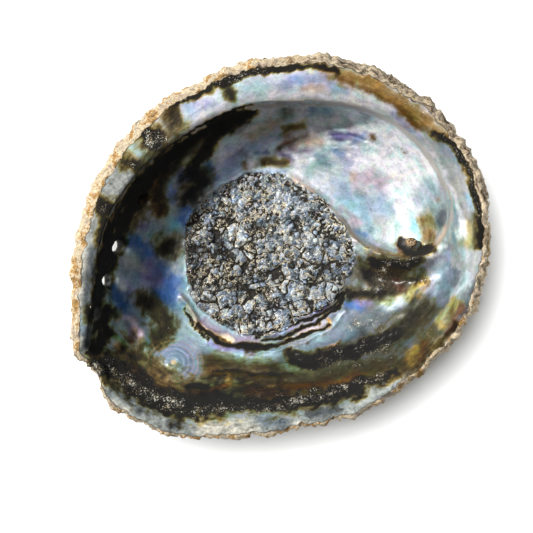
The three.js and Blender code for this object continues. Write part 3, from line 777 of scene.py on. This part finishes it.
def refine(piece, wanted, rounds):
    """Splits the faces whose vertices are all wanted in four, and evens the surface in so many rounds."""
    bm = bmesh.new()
    bm.from_mesh(piece.data)
    bm.verts.ensure_lookup_table()
    faces = [face for face in bm.faces if all(wanted[v.index] for v in face.verts)]
    edges = list({edge for face in faces for edge in face.edges})
    bmesh.ops.subdivide_edges(bm, edges=edges, cuts=1, use_grid_fill=True)
    axes = {"use_axis_x": True, "use_axis_y": True, "use_axis_z": True}
    for _ in range(rounds):
        bmesh.ops.smooth_vert(bm, verts=bm.verts, factor=0.5, **axes)
    bmesh.ops.recalc_face_normals(bm, faces=bm.faces)
    bm.to_mesh(piece.data)
    bm.free()


# ---------------------------------------------------------------- the shell's relief

def scar_cover(surface):
    """1 on the muscle scar, 0 off it, with an uneven edge."""
    x, y = (surface.xy - SCAR_CENTRE).T
    turn = np.degrees(np.arctan2(y, x)) % 360
    outline = np.interp(turn, np.arange(13) * 30, [*SCAR_OUTLINE, SCAR_OUTLINE[0]])
    cover = 1 - smooth(-0.7, 0.9, np.hypot(x, y) - outline)
    return np.where(surface.bowl, cover, 0)


def near_scar(surface):
    """Whether each vertex is on the scar or among the fine ridges below it."""
    x, y = (surface.plain_xy - SCAR_CENTRE).T
    return (scar_cover(surface) > 0) | surface.bowl & (y < -12) & (np.hypot(x, y) < 39.5)


def scar_relief(surface, cover, settings):
    """Pebbles of two sizes on the scar: how far they stand up, how deep their gaps are, and their tones."""
    lift, gap, tone = (np.zeros(len(cover)) for _ in range(3))
    on = cover > 0
    flat = surface.at[on] * (1, 1, 0.35)  # cells as tall columns, so that slopes don't slice them
    flat[:, 0] += 0.7 * cloudy(surface.at[on], 2.6, 3, 31)
    flat[:, 1] += 0.7 * cloudy(surface.at[on], 2.6, 3, 33)
    coarse = pebbles(flat, settings.pebble / MM)
    fine = pebbles(flat, settings.grain / MM)
    x, y = surface.at[on, :2].T
    big = smooth(22, -16, y + 0.35 * x + 6 * cloudy(flat, 9, 2, 5))
    patchy = np.clip(0.6 + 0.9 * cloudy(flat, 5, 2, 35), 0.15, 1)
    domes = [np.clip(rise, 0, 1) * np.clip(border * 3, 0, 1) for rise, border, _ in (coarse, fine)]
    gap[on] = np.maximum(big * (1 - smooth(0.0, 0.12, coarse[1])), patchy * (1 - smooth(0.0, 0.34, fine[1])))
    lift[on] = 1.1 * big * domes[0] + (0.85 - 0.3 * big) * domes[1] - 0.5 * gap[on]
    tone[on] = 0.5 + 0.6 * big * coarse[2] + 0.9 * fine[2]
    return lift * cover, gap * cover, tone


def fold_relief(surface):
    """Ridges and grooves on the cavity's floor."""
    lift = np.zeros(len(surface.at))
    wander = 0.6
    xy = surface.xy * wander + surface.plain_xy * (1 - wander)
    for height, width, *numbers in FOLDS:
        away = distance_to(route(numbers), xy)
        lift += height * np.exp(-(away / width) ** 2)
    return np.where(surface.bowl | (surface.inset < 12), lift * ~surface.outside, 0)


def blister_relief(surface):
    """A low pearl blister with ripples round its middle."""
    height, width, ripple_height, ripple_length = 1.9, 6.2, 0.22, 2.1
    away = surface.from_blister()
    ripple = ripple_height * np.cos(away * 2 * math.pi / ripple_length) * (1 - smooth(7, 11, away))
    return np.where(surface.bowl, height * np.exp(-(away / width) ** 2) + ripple, 0)


def lip_relief(surface):
    """Waves of growth along the outer lip, inside."""
    height, wave_length = 0.16, 4.6
    uneven = cloudy(surface.at, 14, 2, 2)
    wave = np.sin(surface.inset * 2 * math.pi / wave_length + 3 * uneven)
    lip = smooth(205, 222, surface.angle) * (1 - smooth(338, 352, surface.angle))
    near = smooth(1.5, 5, surface.inset) * (1 - smooth(20, 30, surface.inset))
    return height * wave * lip * near * surface.bowl


def crust_relief(surface, settings):
    """The rough, layered outside: growth steps about the spire, low spiral cords and a pitted skin."""
    step_width, cord_count = 3.1, 46
    x, y = (surface.plain_xy - APEX).T
    away = np.hypot(x, y)
    turn = np.arctan2(y, x)
    uneven = cloudy(surface.at, 11, 3, 4)
    steps = (away / step_width + 1.3 * uneven + 0.25 * np.sin(9 * turn)) % 1
    cords = np.sin(cord_count * turn + 1.5 * uneven)
    pits = cloudy(surface.at, 2.4, 4, 6)
    knobs = cloudy(surface.at, 6.5, 2, 8)
    lift = 0.34 * steps ** 2 + 0.12 * cords + 0.3 * pits + 0.42 * knobs
    ground = smooth(0.6, 4, surface.at[:, 2])
    rim = 1 + 0.9 * (1 - smooth(0, 7, -surface.inset))
    return settings.crust_depth / MM * lift * ground * rim


def rim_relief(surface):
    """How far the rim's margin is grown on or bitten out, along the radius."""
    x, y = surface.plain_xy.T / np.maximum(surface.radius, 1)
    ring = np.column_stack([x * 80, y * 80, np.zeros(len(x))])
    bites = 1.0 * cloudy(ring, 6, 3, 11) + 0.8 * cloudy(ring, 2.4, 3, 12)
    near = 1 - smooth(0.5, 5.5, np.abs(surface.inset - RIM_MIDDLE))
    high = smooth(14, 24, surface.at[:, 2])
    return bites * near * high


def sculpt(piece, surface, settings):
    """Moves the vertices by the reliefs and keeps the masks that the finish reads."""
    cover = scar_cover(surface)
    scar_lift, gap, tone = scar_relief(surface, cover, settings)
    outside = smooth(0.5, 1.4, 0.95 - surface.inset) * surface.outside
    inside = scar_lift + fold_relief(surface) + blister_relief(surface) + lip_relief(surface)
    sway = 0.12 * cloudy(surface.at, 7, 2, 15)
    lift = (inside + sway) * ~surface.outside + crust_relief(surface, settings) * outside
    moved = surface.at + surface.normal * lift[:, None]
    level = surface.plain_xy / np.maximum(surface.radius, 1)[:, None]
    outward = np.column_stack([level, np.zeros(len(lift))])
    moved += outward * rim_relief(surface)[:, None]
    piece.data.vertices.foreach_set("co", (moved * MM).ravel())
    piece.data.update()
    keep(piece, "scar", cover)
    keep(piece, "gap", gap)
    keep(piece, "tone", tone)


# ---------------------------------------------------------------- the shell's colours

def painted(surface):
    """The colour that washes over each vertex, painted highlights, light and shade among it."""
    colour = np.tile(linear("ash"), (len(surface.at), 1))
    rows = [(layer, row) for layer, rows in STROKES.items() for row in rows]
    rows += [(layer, row) for layer, rows in CHALK_AND_SHADE.items() for row in rows]
    for layer, (tone, width, *numbers) in rows:
        cover = stroke(surface, width, numbers) * surface.on(layer)
        colour += cover[:, None] * (np.array(linear(tone)) - colour)
    return colour


def stained(surface, layers):
    """How much of each vertex strokes without a tone cover."""
    total = np.zeros(len(surface.at))
    for layer, rows in layers.items():
        for strength, width, *numbers in rows:
            total = np.maximum(total, strength * stroke(surface, width, numbers) * surface.on(layer))
    return total


def paint(piece, surface):
    """Keeps the washes and stains, painted highlights, light and shade among them, for the finish."""
    keep(piece, "wash", painted(surface), "FLOAT_COLOR")
    # the "bark" attribute holds the horny layer's thickness and the bands painted as shade
    keep(piece, "bark", stained(surface, HORN_AND_SHADE))
    keep(piece, "flecks", stained(surface, FLECKS))
    chalk = {layer: [(1, *row[1:]) for row in rows] for layer, rows in CHALK_AND_SHADE.items()}
    keep(piece, "chalk", stained(surface, chalk))
    crust = np.where(surface.outside & (surface.inset > 0.2), 1, smooth(0.9, -0.9, surface.inset))
    keep(piece, "crust", crust)
    half = SHELF_ROUND / 2
    line = smooth(-SHELF_ROUND, -half, surface.past_edge) * smooth(half, 0, surface.past_edge) * surface.shelf
    line *= smooth(12, 15, surface.angle) * smooth(214, 211, surface.angle)
    for width, *numbers in EDGE_LINE:
        away = distance_to(route(numbers), surface.plain_xy)
        line = np.maximum(line, 1 - smooth(0.5 * width, 1.5 * width, away))
    keep(piece, "line", np.where(surface.outside, 0, line))
    keep(piece, "inset", np.clip(surface.inset, -30, 60))
    keep(piece, "blister", np.where(surface.bowl, surface.from_blister(), FAR))


# ---------------------------------------------------------------- materials

class Wire:
    """A value on its way through a material. Arithmetic on it adds Math nodes."""

    def __init__(self, finish, socket):
        self.finish = finish
        self.socket = socket

    def reckon(self, operation, *values):
        """Adds a Math node over numbers and wires."""
        return self.finish.make("ShaderNodeMath", {"operation": operation}, dict(enumerate(values)))

    def __add__(self, other):
        return self.reckon("ADD", self, other)

    def __radd__(self, other):
        return self.reckon("ADD", other, self)

    def __sub__(self, other):
        return self.reckon("SUBTRACT", self, other)

    def __rsub__(self, other):
        return self.reckon("SUBTRACT", other, self)

    def __mul__(self, other):
        return self.reckon("MULTIPLY", self, other)

    def __rmul__(self, other):
        return self.reckon("MULTIPLY", other, self)

    def __truediv__(self, other):
        return self.reckon("DIVIDE", self, other)

    def __pow__(self, other):
        return self.reckon("POWER", self, other)

    def at_least(self, other):
        return self.reckon("MAXIMUM", self, other)

    def at_most(self, other):
        return self.reckon("MINIMUM", self, other)

    def sine(self):
        return self.reckon("SINE", self)

    def ramp(self, low, high):
        """0 below low, 1 above high, smoothly between."""
        values = {"Value": self, "From Min": low, "From Max": high}
        return self.finish.make("ShaderNodeMapRange", {"interpolation_type": "SMOOTHSTEP"}, values)


class Finish:
    """A material under construction."""

    def __init__(self, name, **constants):
        self.material = bpy.data.materials.new(name)
        self.material.use_nodes = True
        self.tree = self.material.node_tree
        self.shader = self.tree.nodes["Principled BSDF"]
        for socket, value in constants.items():
            self.shader.inputs[socket.replace("_", " ")].default_value = value
        coordinates = self.make("ShaderNodeTexCoord", output="Object")
        self.place = self.scaled(coordinates, 1 / MM)

    def make(self, kind, settings=None, values=None, output=0):
        """Adds a node: its settings first, then its sockets' values or links. Gives one of its outputs."""
        node = self.tree.nodes.new(kind)
        for name, value in (settings or {}).items():
            if name == "stops":
                self.set_stops(node.color_ramp, value)
            else:
                setattr(node, name, value)
        for name, value in (values or {}).items():
            self.feed(node.inputs[name], value)
        return Wire(self, node.outputs[output])

    def feed(self, socket, value):
        """Links a wire to a socket, or gives it any other value."""
        if isinstance(value, Wire):
            self.tree.links.new(value.socket, socket)
        else:
            socket.default_value = value

    def set_stops(self, ramp, stops):
        """Gives a colour ramp its stops: position and colour of each."""
        while len(ramp.elements) > 1:
            ramp.elements.remove(ramp.elements[-1])
        for index, (position, colour) in enumerate(stops):
            element = ramp.elements[0] if index == 0 else ramp.elements.new(position)
            element.position = position
            element.color = (*colour, 1)

    def number(self, name):
        """A number kept for each vertex."""
        return self.make("ShaderNodeAttribute", {"attribute_name": name}, output="Fac")

    def colour(self, name):
        """A colour kept for each vertex."""
        return self.make("ShaderNodeAttribute", {"attribute_name": name}, output="Color")

    def scaled(self, vector, factor):
        """A vector times a number, or a colour made darker or lighter by it."""
        return self.make("ShaderNodeVectorMath", {"operation": "SCALE"}, {"Vector": vector, "Scale": factor})

    def joined(self, x, y, z):
        """A vector from three numbers."""
        return self.make("ShaderNodeCombineXYZ", values={0: x, 1: y, 2: z})

    def split(self, vector):
        """The three numbers of a vector or a colour."""
        node = self.make("ShaderNodeSeparateXYZ", values={0: vector}).socket.node
        return [Wire(self, output) for output in node.outputs]

    def clouds(self, size, detail=3, rough=0.55, swirl=0, vector=None):
        """Noise from 0 to 1 with features about size across."""
        values = {"Vector": vector or self.place, "Scale": 1 / size, "Detail": detail}
        return self.make("ShaderNodeTexNoise", values={**values, "Roughness": rough, "Distortion": swirl})

    def cells(self, size, feature="F1", output="Distance"):
        """Cells about size across: distance to the middle or the edge, or a colour for each."""
        values = {"Vector": self.place, "Scale": 1 / size}
        return self.make("ShaderNodeTexVoronoi", {"feature": feature}, values, output)

    def ramped(self, value, stops):
        """A colour ramp from stops of a position and a linear colour."""
        return self.make("ShaderNodeValToRGB", {"stops": stops}, {0: value}, "Color")

    def tones(self, value, *stops):
        """A colour ramp over tones: position, tone, position, tone..."""
        pairs = zip(stops[::2], stops[1::2])
        return self.ramped(value, [(position, linear(tone)) for position, tone in pairs])

    def mix(self, share, a, b, blend="MIX"):
        """Colour b over colour a."""
        sockets = dict(zip((0, 6, 7), (share, as_colour(a), as_colour(b))))
        return self.make("ShaderNodeMix", {"data_type": "RGBA", "blend_type": blend}, sockets, 2)

    def finish(self, colour, roughness, height, distance, **more):
        """Links the varying sockets; height becomes bump, distance is a height of 1 in millimetres."""
        values = {"Height": height, "Distance": distance * MM, "Strength": 1}
        bump = self.make("ShaderNodeBump", values=values)
        self.feed(self.shader.inputs["Base Color"], colour)
        self.feed(self.shader.inputs["Roughness"], roughness)
        self.feed(self.shader.inputs["Normal"], bump)
        for socket, value in more.items():
            self.feed(self.shader.inputs[socket.replace("_", " ")], value)
        return self.material


def as_colour(value):
    """A tone's name as a colour with its alpha; anything else as it is."""
    return (*linear(value), 1) if isinstance(value, str) else value


def pearl(f):
    """Nacre: the washes, clouded with shifting tints and streaked along the rim. Gives colour and height."""
    x, y, _ = f.split(f.place)
    blister = f.number("blister")
    along = f.joined(f.number("inset"), x * 0.22, y * 0.22)
    clouds = f.clouds(6.5, 2, 0.45, 0.8)
    streaks = f.clouds(2.6, 4, 0.6, 0.3, along)
    tint = f.ramped(clouds * 0.7 + streaks * 0.3, TINTS)
    colour = f.mix(1.0, f.scaled(tint, 2.0), f.colour("wash"), "MULTIPLY")
    fine = f.clouds(0.9, 4, 0.75)
    broad = f.clouds(3.2, 4, 0.65, 0.5)
    colour = f.scaled(colour, (0.8 * fine + 1.3 * broad + 0.9 * streaks - 0.5).at_least(0.15))
    rings = (blister * 3.6 + 1.6 * f.clouds(4)).sine()
    near = 1 - blister.ramp(9, 12)
    ringed = f.tones(
        blister / 10 + 0.3 * fine,
        0.1, "ice", 0.3, "mint", 0.5, "sky", 0.75, "lilac", 0.95, "rose",
    )
    colour = f.mix(near * rings.ramp(-0.6, 0.9) * 0.45, colour, ringed)
    centre = 1 - (blister + 1.4 * f.clouds(1.4)).ramp(1.4, 2.2)
    colour = f.mix(centre, colour, "cream")
    return colour, streaks * 0.5 + fine * 0.35


def horn_thickness_and_shade(f):
    """The horn layer's thickness, the bands painted as shade counted in, and the colour of the light that it
    lets back through.
    """
    x, y, _ = f.split(f.place)
    along = f.joined(f.number("inset") * 0.9, x * 0.14, y * 0.14)
    ragged = f.clouds(2.0, 5, 0.75)
    streaks = f.clouds(1.5, 5, 0.7, 0.3, along)
    # the "bark" numbers hold the horny layer and the bands painted as shade
    thick = f.number("bark") * 1.27 + (ragged - 0.5) * 0.4 + (streaks - 0.5) * 0.65
    return thick, f.ramped(thick, HORN)


def scar(f):
    """The scar's pebbles: blue-grey, cream and dark, with gaps and crumb edges darkened as painted shade, and
    small painted highlights. Gives colour and height.
    """
    x, y, _ = f.split(f.place)
    crumb_size = 0.8
    mottle = f.clouds(1.2, 5, 0.78, 0.4)
    patch = f.clouds(10, 3, 0.6)
    colour = f.tones(
        f.number("tone") * 0.9 + mottle * 0.9 + patch * 0.6 - 0.76,
        0.12, "bark", 0.24, "dusk", 0.34, "steel", 0.43, "slate", 0.51, "azure",
        0.58, "mist", 0.66, "steel", 0.74, "ivory", 0.82, "azure", 0.92, "ice",
    )
    crumbs = f.cells(crumb_size, "DISTANCE_TO_EDGE")
    crumb = f.split(f.cells(crumb_size, "F1", "Color"))[0]
    # each crumb a random shade, and darker towards its edge as painted shade
    colour = f.scaled(colour, (0.45 + crumb) * (0.6 + 0.4 * crumbs.ramp(0.02, 0.12)))
    gap = f.number("gap") + (f.clouds(crumb_size, 4, 0.78) - 0.5) * 1.5
    outlined = f.clouds(6, 2).ramp(0.4, 0.56) * 0.85
    colour = f.mix(gap.ramp(0.26, 0.40) * outlined, colour, "cream")
    # painted shade: the gaps between the pebbles black
    colour = f.mix(gap.ramp(0.42, 0.56), colour, "bark")
    # painted shade: the scar darker towards its left side
    painted_shade_left = 0.55 + 0.45 * x.ramp(-38, -22)
    colour = f.scaled(colour, (0.3 + 1.65 * f.clouds(3.4, 3, 0.6)) * painted_shade_left)
    # painted highlights: small spots of mint, cream, white and rose, a few more towards the top, kept out of
    # the gaps
    painted_glints = (f.clouds(crumb_size, 2, 0.6) + 0.03 * y.ramp(-12, 16)).ramp(0.60, 0.64)
    glint_colour = f.tones(f.clouds(3, 2), 0.38, "mint", 0.46, "cream", 0.54, "white", 0.62, "rose")
    colour = f.mix(painted_glints * (1 - gap.ramp(0.42, 0.6)), colour, glint_colour)
    return colour, crumbs.ramp(0, 0.35) * 0.4 + mottle * 0.8


def flecks(f):
    """White shelly flecks in clusters. Gives their cover."""
    grains = f.clouds(0.5, 2, 0.6, 0.9)
    clusters = f.clouds(3.6, 3, 0.6)
    return (f.number("flecks") * 0.34 + grains + clusters * 0.5).ramp(1.165, 1.18)


def crust(f):
    """The outside: sandy, layered at the right, with growth bands low down, lighter towards +X as painted
    light. Gives colour and height.
    """
    x, y, z = f.split(f.place)
    along = f.joined(f.number("inset") * 1.4, x * 0.15, y * 0.15 + z * 0.6)
    layers = f.clouds(1.2, 4, 0.65, 0.4, along)
    patches = f.clouds(6, 5, 0.68, 0.7)
    pits = f.clouds(0.8, 5, 0.78)
    sandy = f.tones(
        patches * 0.7 + pits * 0.3,
        0.36, "gold", 0.45, "orange", 0.50, "cream", 0.57, "beige", 0.66, "tan",
    )
    layered = f.tones(
        layers * 0.8 + pits * 0.2,
        0.38, "umber", 0.44, "tan", 0.50, "beige", 0.56, "cream", 0.63, "gold",
    )
    right = (x + y * 0.4).ramp(10, 50) * y.ramp(-16, 4)
    colour = f.mix(right, sandy, layered)
    from_x, from_y = x - APEX[0], y - APEX[1]
    away = (from_x * from_x + from_y * from_y) ** 0.5
    growth = (away * 0.55 + 9 * patches).sine() * 0.18 + layers
    bands = f.tones(growth, 0.34, "umber", 0.44, "rust", 0.52, "tan", 0.60, "beige", 0.7, "ash")
    low = 1 - z.ramp(24, 38)
    colour = f.mix(low * 0.8, colour, bands)
    colour = f.mix(pits.ramp(0.46, 0.36) * 0.8, colour, "umber")
    colour = f.mix(layers.ramp(0.42, 0.34) * 0.7, colour, "umber")
    # painted light: the crust lighter towards +X, where its outer face is in the main light's shade
    painted_light_right = 1 + 0.4 * x.ramp(50, 80)
    colour = f.scaled(colour, (0.35 + 1.1 * f.clouds(1.5, 4, 0.7)) * painted_light_right)
    return colour, pits + layers * 0.9 + patches * 0.4


def shell_finish(settings):
    """The one finish of the whole shell, its layers laid over each other by the kept masks."""
    f = Finish("Nacre and crust", Specular_IOR_Level=0.45, Coat_Roughness=0.22, Coat_IOR=1.55)
    inset = f.number("inset")
    colour, height = pearl(f)
    roughness = 0.4 + 0.16 * f.clouds(2.0)
    colour = f.mix(f.number("line") * 0.6, colour, "beige")

    chalky = (f.number("chalk") + (f.clouds(2.5, 4) - 0.5) * 0.7).ramp(0.35, 0.6)
    chalk_height = f.clouds(1.6, 5, 0.65)
    mottled = (2.2 * f.clouds(5, 4, 0.65, 0.5) + 1.5 * f.clouds(1.3, 5, 0.75) - 1.2).at_least(0.08)
    colour = f.mix(chalky, colour, f.scaled(f.colour("wash"), mottled))
    height = height + chalky * chalk_height

    thick, passed = horn_thickness_and_shade(f)
    colour = f.mix(1.0, colour, passed, "MULTIPLY")
    horn_shade_cover = thick.ramp(0.3, 0.8)
    height = height + horn_shade_cover * f.clouds(0.9, 4, 0.7) * 0.9

    scarred = (f.number("scar") + (f.clouds(1.8, 4) - 0.5) * 0.5).ramp(0.35, 0.6)
    scar_colour, scar_height = scar(f)
    colour = f.mix(scarred, colour, scar_colour)
    height = height + scarred * scar_height * 1.2

    fleck_cover = flecks(f) * f.number("flecks").ramp(0.1, 0.5)
    colour = f.mix(fleck_cover, colour, f.tones(f.clouds(2.4), 0.45, "tan", 0.56, "ivory"))

    crust_colour, crust_height = crust(f)
    edge = f.number("crust") + (f.clouds(2.4, 4, 0.65) - 0.5) * 0.55
    crusted = edge.ramp(0.44, 0.56)
    seam = edge.ramp(0.22, 0.36) * (1 - crusted)
    colour = f.mix(seam * 0.7, colour, "umber")
    colour = f.mix(crusted, colour, crust_colour)
    height = height + crusted * crust_height * 2.2

    dull = (crusted + chalky * 0.7 + horn_shade_cover * 0.8 + scarred * 0.1).at_most(1)
    nacreous = 1 - (crusted + chalky + scarred * 0.5 + horn_shade_cover * 0.9).at_most(1)
    return f.finish(
        colour,
        (roughness + dull * 0.5 + 0.3 * (1 - inset.ramp(0, 6))).at_most(1),
        height,
        settings.fine_relief / MM,
        Metallic=nacreous * inset.ramp(2, 10) * settings.sheen,
        Coat_Weight=nacreous * inset.ramp(2, 8) * settings.gloss,
    )


def grit_finish():
    """Rusty, granular and dull, with a few pale grains."""
    f = Finish("Rusty grit", Specular_IOR_Level=0.3)
    grain_size = 0.55
    grain = f.split(f.cells(grain_size, "F1", "Color"))[0]
    shade = f.clouds(0.6, 3)
    colour = f.tones(grain * 0.6 + shade * 0.4, 0.2, "umber", 0.4, "rust", 0.55, "gold", 0.75, "beige")
    return f.finish(colour, 0.7 + 0.3 * shade, f.cells(grain_size) + shade, 0.3)


# ---------------------------------------------------------------- settings

def length(name, millimetres, description):
    """A property that holds a length, from millimetres."""
    default = millimetres * MM
    return bpy.props.FloatProperty(name=name, default=default, unit="LENGTH", description=description)


def fraction(name, default, description):
    """A property that goes from 0 to 1."""
    limits = {"min": 0, "max": 1, "subtype": "FACTOR"}
    return bpy.props.FloatProperty(name=name, default=default, description=description, **limits)


def power(name, watts):
    """A property that holds a light's power."""
    description = "Power of the " + name.lower()
    return bpy.props.FloatProperty(name=name, default=watts, subtype="POWER", description=description)


class ShellSettings(bpy.types.PropertyGroup):
    """Sizes and shine of the shell"""

    facet: length("Facet", 1.8, "Size of the faces outside; inside they are half that, on the scar a quarter")
    pebble: length("Pebble", 7.0, "Size of the larger pebbles on the muscle scar")
    grain: length("Grain", 2.2, "Size of the smaller pebbles on the muscle scar")
    crust_depth: length("Crust depth", 1.4, "How far the growth steps and knobs of the outside stand up")
    fine_relief: length("Fine relief", 0.35, "Depth of the finest relief, which is in the finish alone")
    sheen: fraction("Sheen", 0.45, "How metallic the pearl shines")
    gloss: fraction("Gloss", 0.25, "How strong the clear coat on the pearl is")


class GritSettings(bpy.types.PropertyGroup):
    """Shape of the crumb of grit"""

    roughness: length("Roughness", 0.35, "How uneven the crumb of grit is")


class StageSettings(bpy.types.PropertyGroup):
    """Camera and lights of the studio"""

    field: length("Field of view", 207.9, "Width of the view at the height of the rim")
    lens: bpy.props.FloatProperty(
        name="Lens", default=200, subtype="DISTANCE_CAMERA", description="Focal length"
    )
    key: power("Key light", 36)
    fill: power("Fill light", 5.5)
    floor_light: power("Floor light", 96)


GROUPS = {"abalone_shell": ShellSettings, "abalone_grit": GritSettings, "abalone_stage": StageSettings}


# ---------------------------------------------------------------- operators

class ABALONE_OT_shell(bpy.types.Operator):
    """Model the shell over its CAD solid and give it its finish"""

    bl_idname = "abalone.shell"
    bl_label = "Shell"

    def execute(self, context):
        settings = context.scene.abalone_shell
        piece = joined_copy("shell", "abalone_shell")
        rounded(piece, settings.facet)
        surface = Surface(piece)
        rim = np.abs(surface.inset - RIM_MIDDLE) < RIM_WIDTH
        refine(piece, ~surface.outside & ~surface.covered | rim, 3)
        surface = Surface(piece)
        refine(piece, near_scar(surface), 1)
        surface = Surface(piece)
        paint(piece, surface)
        sculpt(piece, surface, settings)
        piece.data.materials.clear()
        piece.data.materials.append(shell_finish(settings))
        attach(piece, "root")
        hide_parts("shell")
        return {"FINISHED"}


class ABALONE_OT_grit(bpy.types.Operator):
    """Model the crumb of grit wedged in the mouth of the spire"""

    bl_idname = "abalone.grit"
    bl_label = "Spire grit"

    def execute(self, context):
        settings = context.scene.abalone_grit
        low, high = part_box("spire_grit")
        size = high - low
        bm = bmesh.new()
        bmesh.ops.create_icosphere(bm, subdivisions=5, radius=0.5)
        for vert in bm.verts:
            rough = noise.fractal(vert.co * 5, *OCTAVES, 3) + 0.6 * noise.fractal(vert.co * 14, *OCTAVES, 2)
            vert.co *= 1 + rough * settings.roughness / size.x
            vert.co = Vector(a * b for a, b in zip(vert.co, size)) + (low + high) / 2
        bmesh.ops.recalc_face_normals(bm, faces=bm.faces)
        piece = new_piece("grit_crumb", bm)
        piece.data.materials.append(grit_finish())
        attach(piece, "root")
        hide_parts("spire_grit")
        return {"FINISHED"}


SUNNY = (1, 0.97, 0.92)
# The lights: width and distance in metres, the side they stand on, and how many degrees up they stand.
KEY_LIGHT = {"size": 0.09, "distance": 1.5, "side": (-0.886, 0.463), "elevation": 48, "colour": SUNNY}
FILL_LIGHT = {"size": 1.0, "distance": 1.5, "side": (0.2, 0.5), "elevation": 78}
FLOOR_LIGHT = {"size": 1.6, "distance": 1.8, "side": (-0.7, 0.6), "elevation": 70}
AIM = 30  # height of the point over the origin that the lights are aimed at
VIEW_CENTRE = (-3.7, -14.2)  # the point that the camera stands over
RIM_DEPTH = 3  # how far the mean plane of the rim lies below the shell's highest point
FLOOR_SIZE = 6000  # length of each side of the floor
FLOOR_DEPTH = 0.5  # the floor lies this far below the shell, so that no two faces share a plane
HORIZON, ZENITH = 0.08, 0.03  # strength of the world's light at the horizon and overhead


class ABALONE_OT_stage(bpy.types.Operator):
    """Set the floor, the lights and the camera over the shell"""

    bl_idname = "abalone.stage"
    bl_label = "Studio"

    def execute(self, context):
        settings = context.scene.abalone_stage
        floor = studio_floor()
        studio_world(context.scene)
        key = area_light("Key light", settings.key, **KEY_LIGHT)
        fill = area_light("Fill light", settings.fill, **FILL_LIGHT)
        wash = area_light("Floor light", settings.floor_light, **FLOOR_LIGHT)
        for light, lit in ((key, False), (fill, False), (wash, True)):
            keep_light_to(light, floor, lit)
        place_camera(context.scene, settings)
        context.scene.view_settings.view_transform = "Standard"
        return {"FINISHED"}


def studio_floor():
    """A wide pale floor with hardly any grain."""
    bm = bmesh.new()
    bmesh.ops.create_grid(bm, x_segments=1, y_segments=1, size=FLOOR_SIZE / 2 * MM)
    bmesh.ops.translate(bm, verts=bm.verts, vec=(0, 0, -FLOOR_DEPTH * MM))
    floor = new_piece("studio_floor", bm)
    f = Finish("Pale floor", Specular_IOR_Level=0.1)
    grain = f.clouds(8)
    floor.data.materials.append(f.finish(as_colour("white"), 0.9 + 0.05 * grain, grain, 0.01))
    return floor


def studio_world(scene):
    """Pale all round, brighter at the horizon than overhead."""
    world = bpy.data.worlds.new("Studio")
    scene.world = world
    world.use_nodes = True
    tree = world.node_tree
    ground = tree.nodes["Background"]
    direction = tree.nodes.new("ShaderNodeTexCoord").outputs["Generated"]
    up = tree.nodes.new("ShaderNodeSeparateXYZ")
    tree.links.new(direction, up.inputs[0])
    ramp = tree.nodes.new("ShaderNodeMapRange")
    for name, value in {"From Min": 0.0, "From Max": 0.6, "To Min": HORIZON, "To Max": ZENITH}.items():
        ramp.inputs[name].default_value = value
    tree.links.new(up.outputs["Z"], ramp.inputs["Value"])
    ground.inputs["Color"].default_value = (1, 1, 1, 1)
    tree.links.new(ramp.outputs["Result"], ground.inputs["Strength"])


def area_light(name, watts, size, distance, side, elevation, colour=(1, 1, 1)):
    """A round soft light that shines on the shell from a side, at an elevation in degrees."""
    data = bpy.data.lights.new(name, "AREA")
    data.shape = "DISK"
    data.size = size
    data.energy = watts
    data.color = colour
    light = bpy.data.objects.new(name, data)
    flat = Vector((*side, 0)).normalized() * math.cos(math.radians(elevation))
    back = flat + Vector((0, 0, math.sin(math.radians(elevation))))
    light.location = Vector((0, 0, AIM * MM)) + back * distance
    light.rotation_euler = back.to_track_quat("Z", "Y").to_euler()
    bpy.context.scene.collection.objects.link(light)
    return light


def keep_light_to(light, floor, lit):
    """Makes a light fall only on the floor, or on everything but the floor."""
    group = bpy.data.collections.new(light.name + " falls on")
    group.objects.link(floor)
    light.light_linking.receiver_collection = group
    group.collection_objects[0].light_linking.link_state = "INCLUDE" if lit else "EXCLUDE"


def place_camera(scene, settings):
    """A camera straight above, in whose view the plane of the rim is as wide as the field."""
    data = bpy.data.cameras.new("Camera")
    data.lens = settings.lens
    camera = bpy.data.objects.new("Camera", data)
    rim_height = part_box("shell")[1].z - RIM_DEPTH * MM
    distance = settings.field * data.lens / data.sensor_width
    camera.location = (VIEW_CENTRE[0] * MM, VIEW_CENTRE[1] * MM, rim_height + distance)
    data.clip_end = 2 * distance
    scene.collection.objects.link(camera)
    scene.camera = camera


# ---------------------------------------------------------------- panel and registration

class ABALONE_PT_panel(bpy.types.Panel):
    """The shell, its grit and the studio, each with its settings"""

    bl_idname = "ABALONE_PT_panel"
    bl_label = "Abalone Shell"
    bl_space_type = "VIEW_3D"
    bl_region_type = "UI"
    bl_category = "Abalone"

    def draw(self, context):
        for (name, group), operator in zip(GROUPS.items(), OPERATORS):
            box = self.layout.box()
            box.operator(operator.bl_idname)
            for field in group.__annotations__:
                box.prop(getattr(context.scene, name), field)


OPERATORS = (ABALONE_OT_shell, ABALONE_OT_grit, ABALONE_OT_stage)


def register():
    """Registers the classes and gives the scene their settings."""
    for item in (*GROUPS.values(), *OPERATORS, ABALONE_PT_panel):
        bpy.utils.register_class(item)
    for name, group in GROUPS.items():
        setattr(bpy.types.Scene, name, bpy.props.PointerProperty(type=group))


def unregister():
    """Takes the settings off the scene and the classes away."""
    for name in GROUPS:
        delattr(bpy.types.Scene, name)
    for item in (ABALONE_PT_panel, *reversed(OPERATORS), *reversed(GROUPS.values())):
        bpy.utils.unregister_class(item)


def main():
    """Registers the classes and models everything."""
    register()
    bpy.ops.abalone.shell()
    bpy.ops.abalone.grit()
    bpy.ops.abalone.stage()


if __name__ == "__main__":
    main()
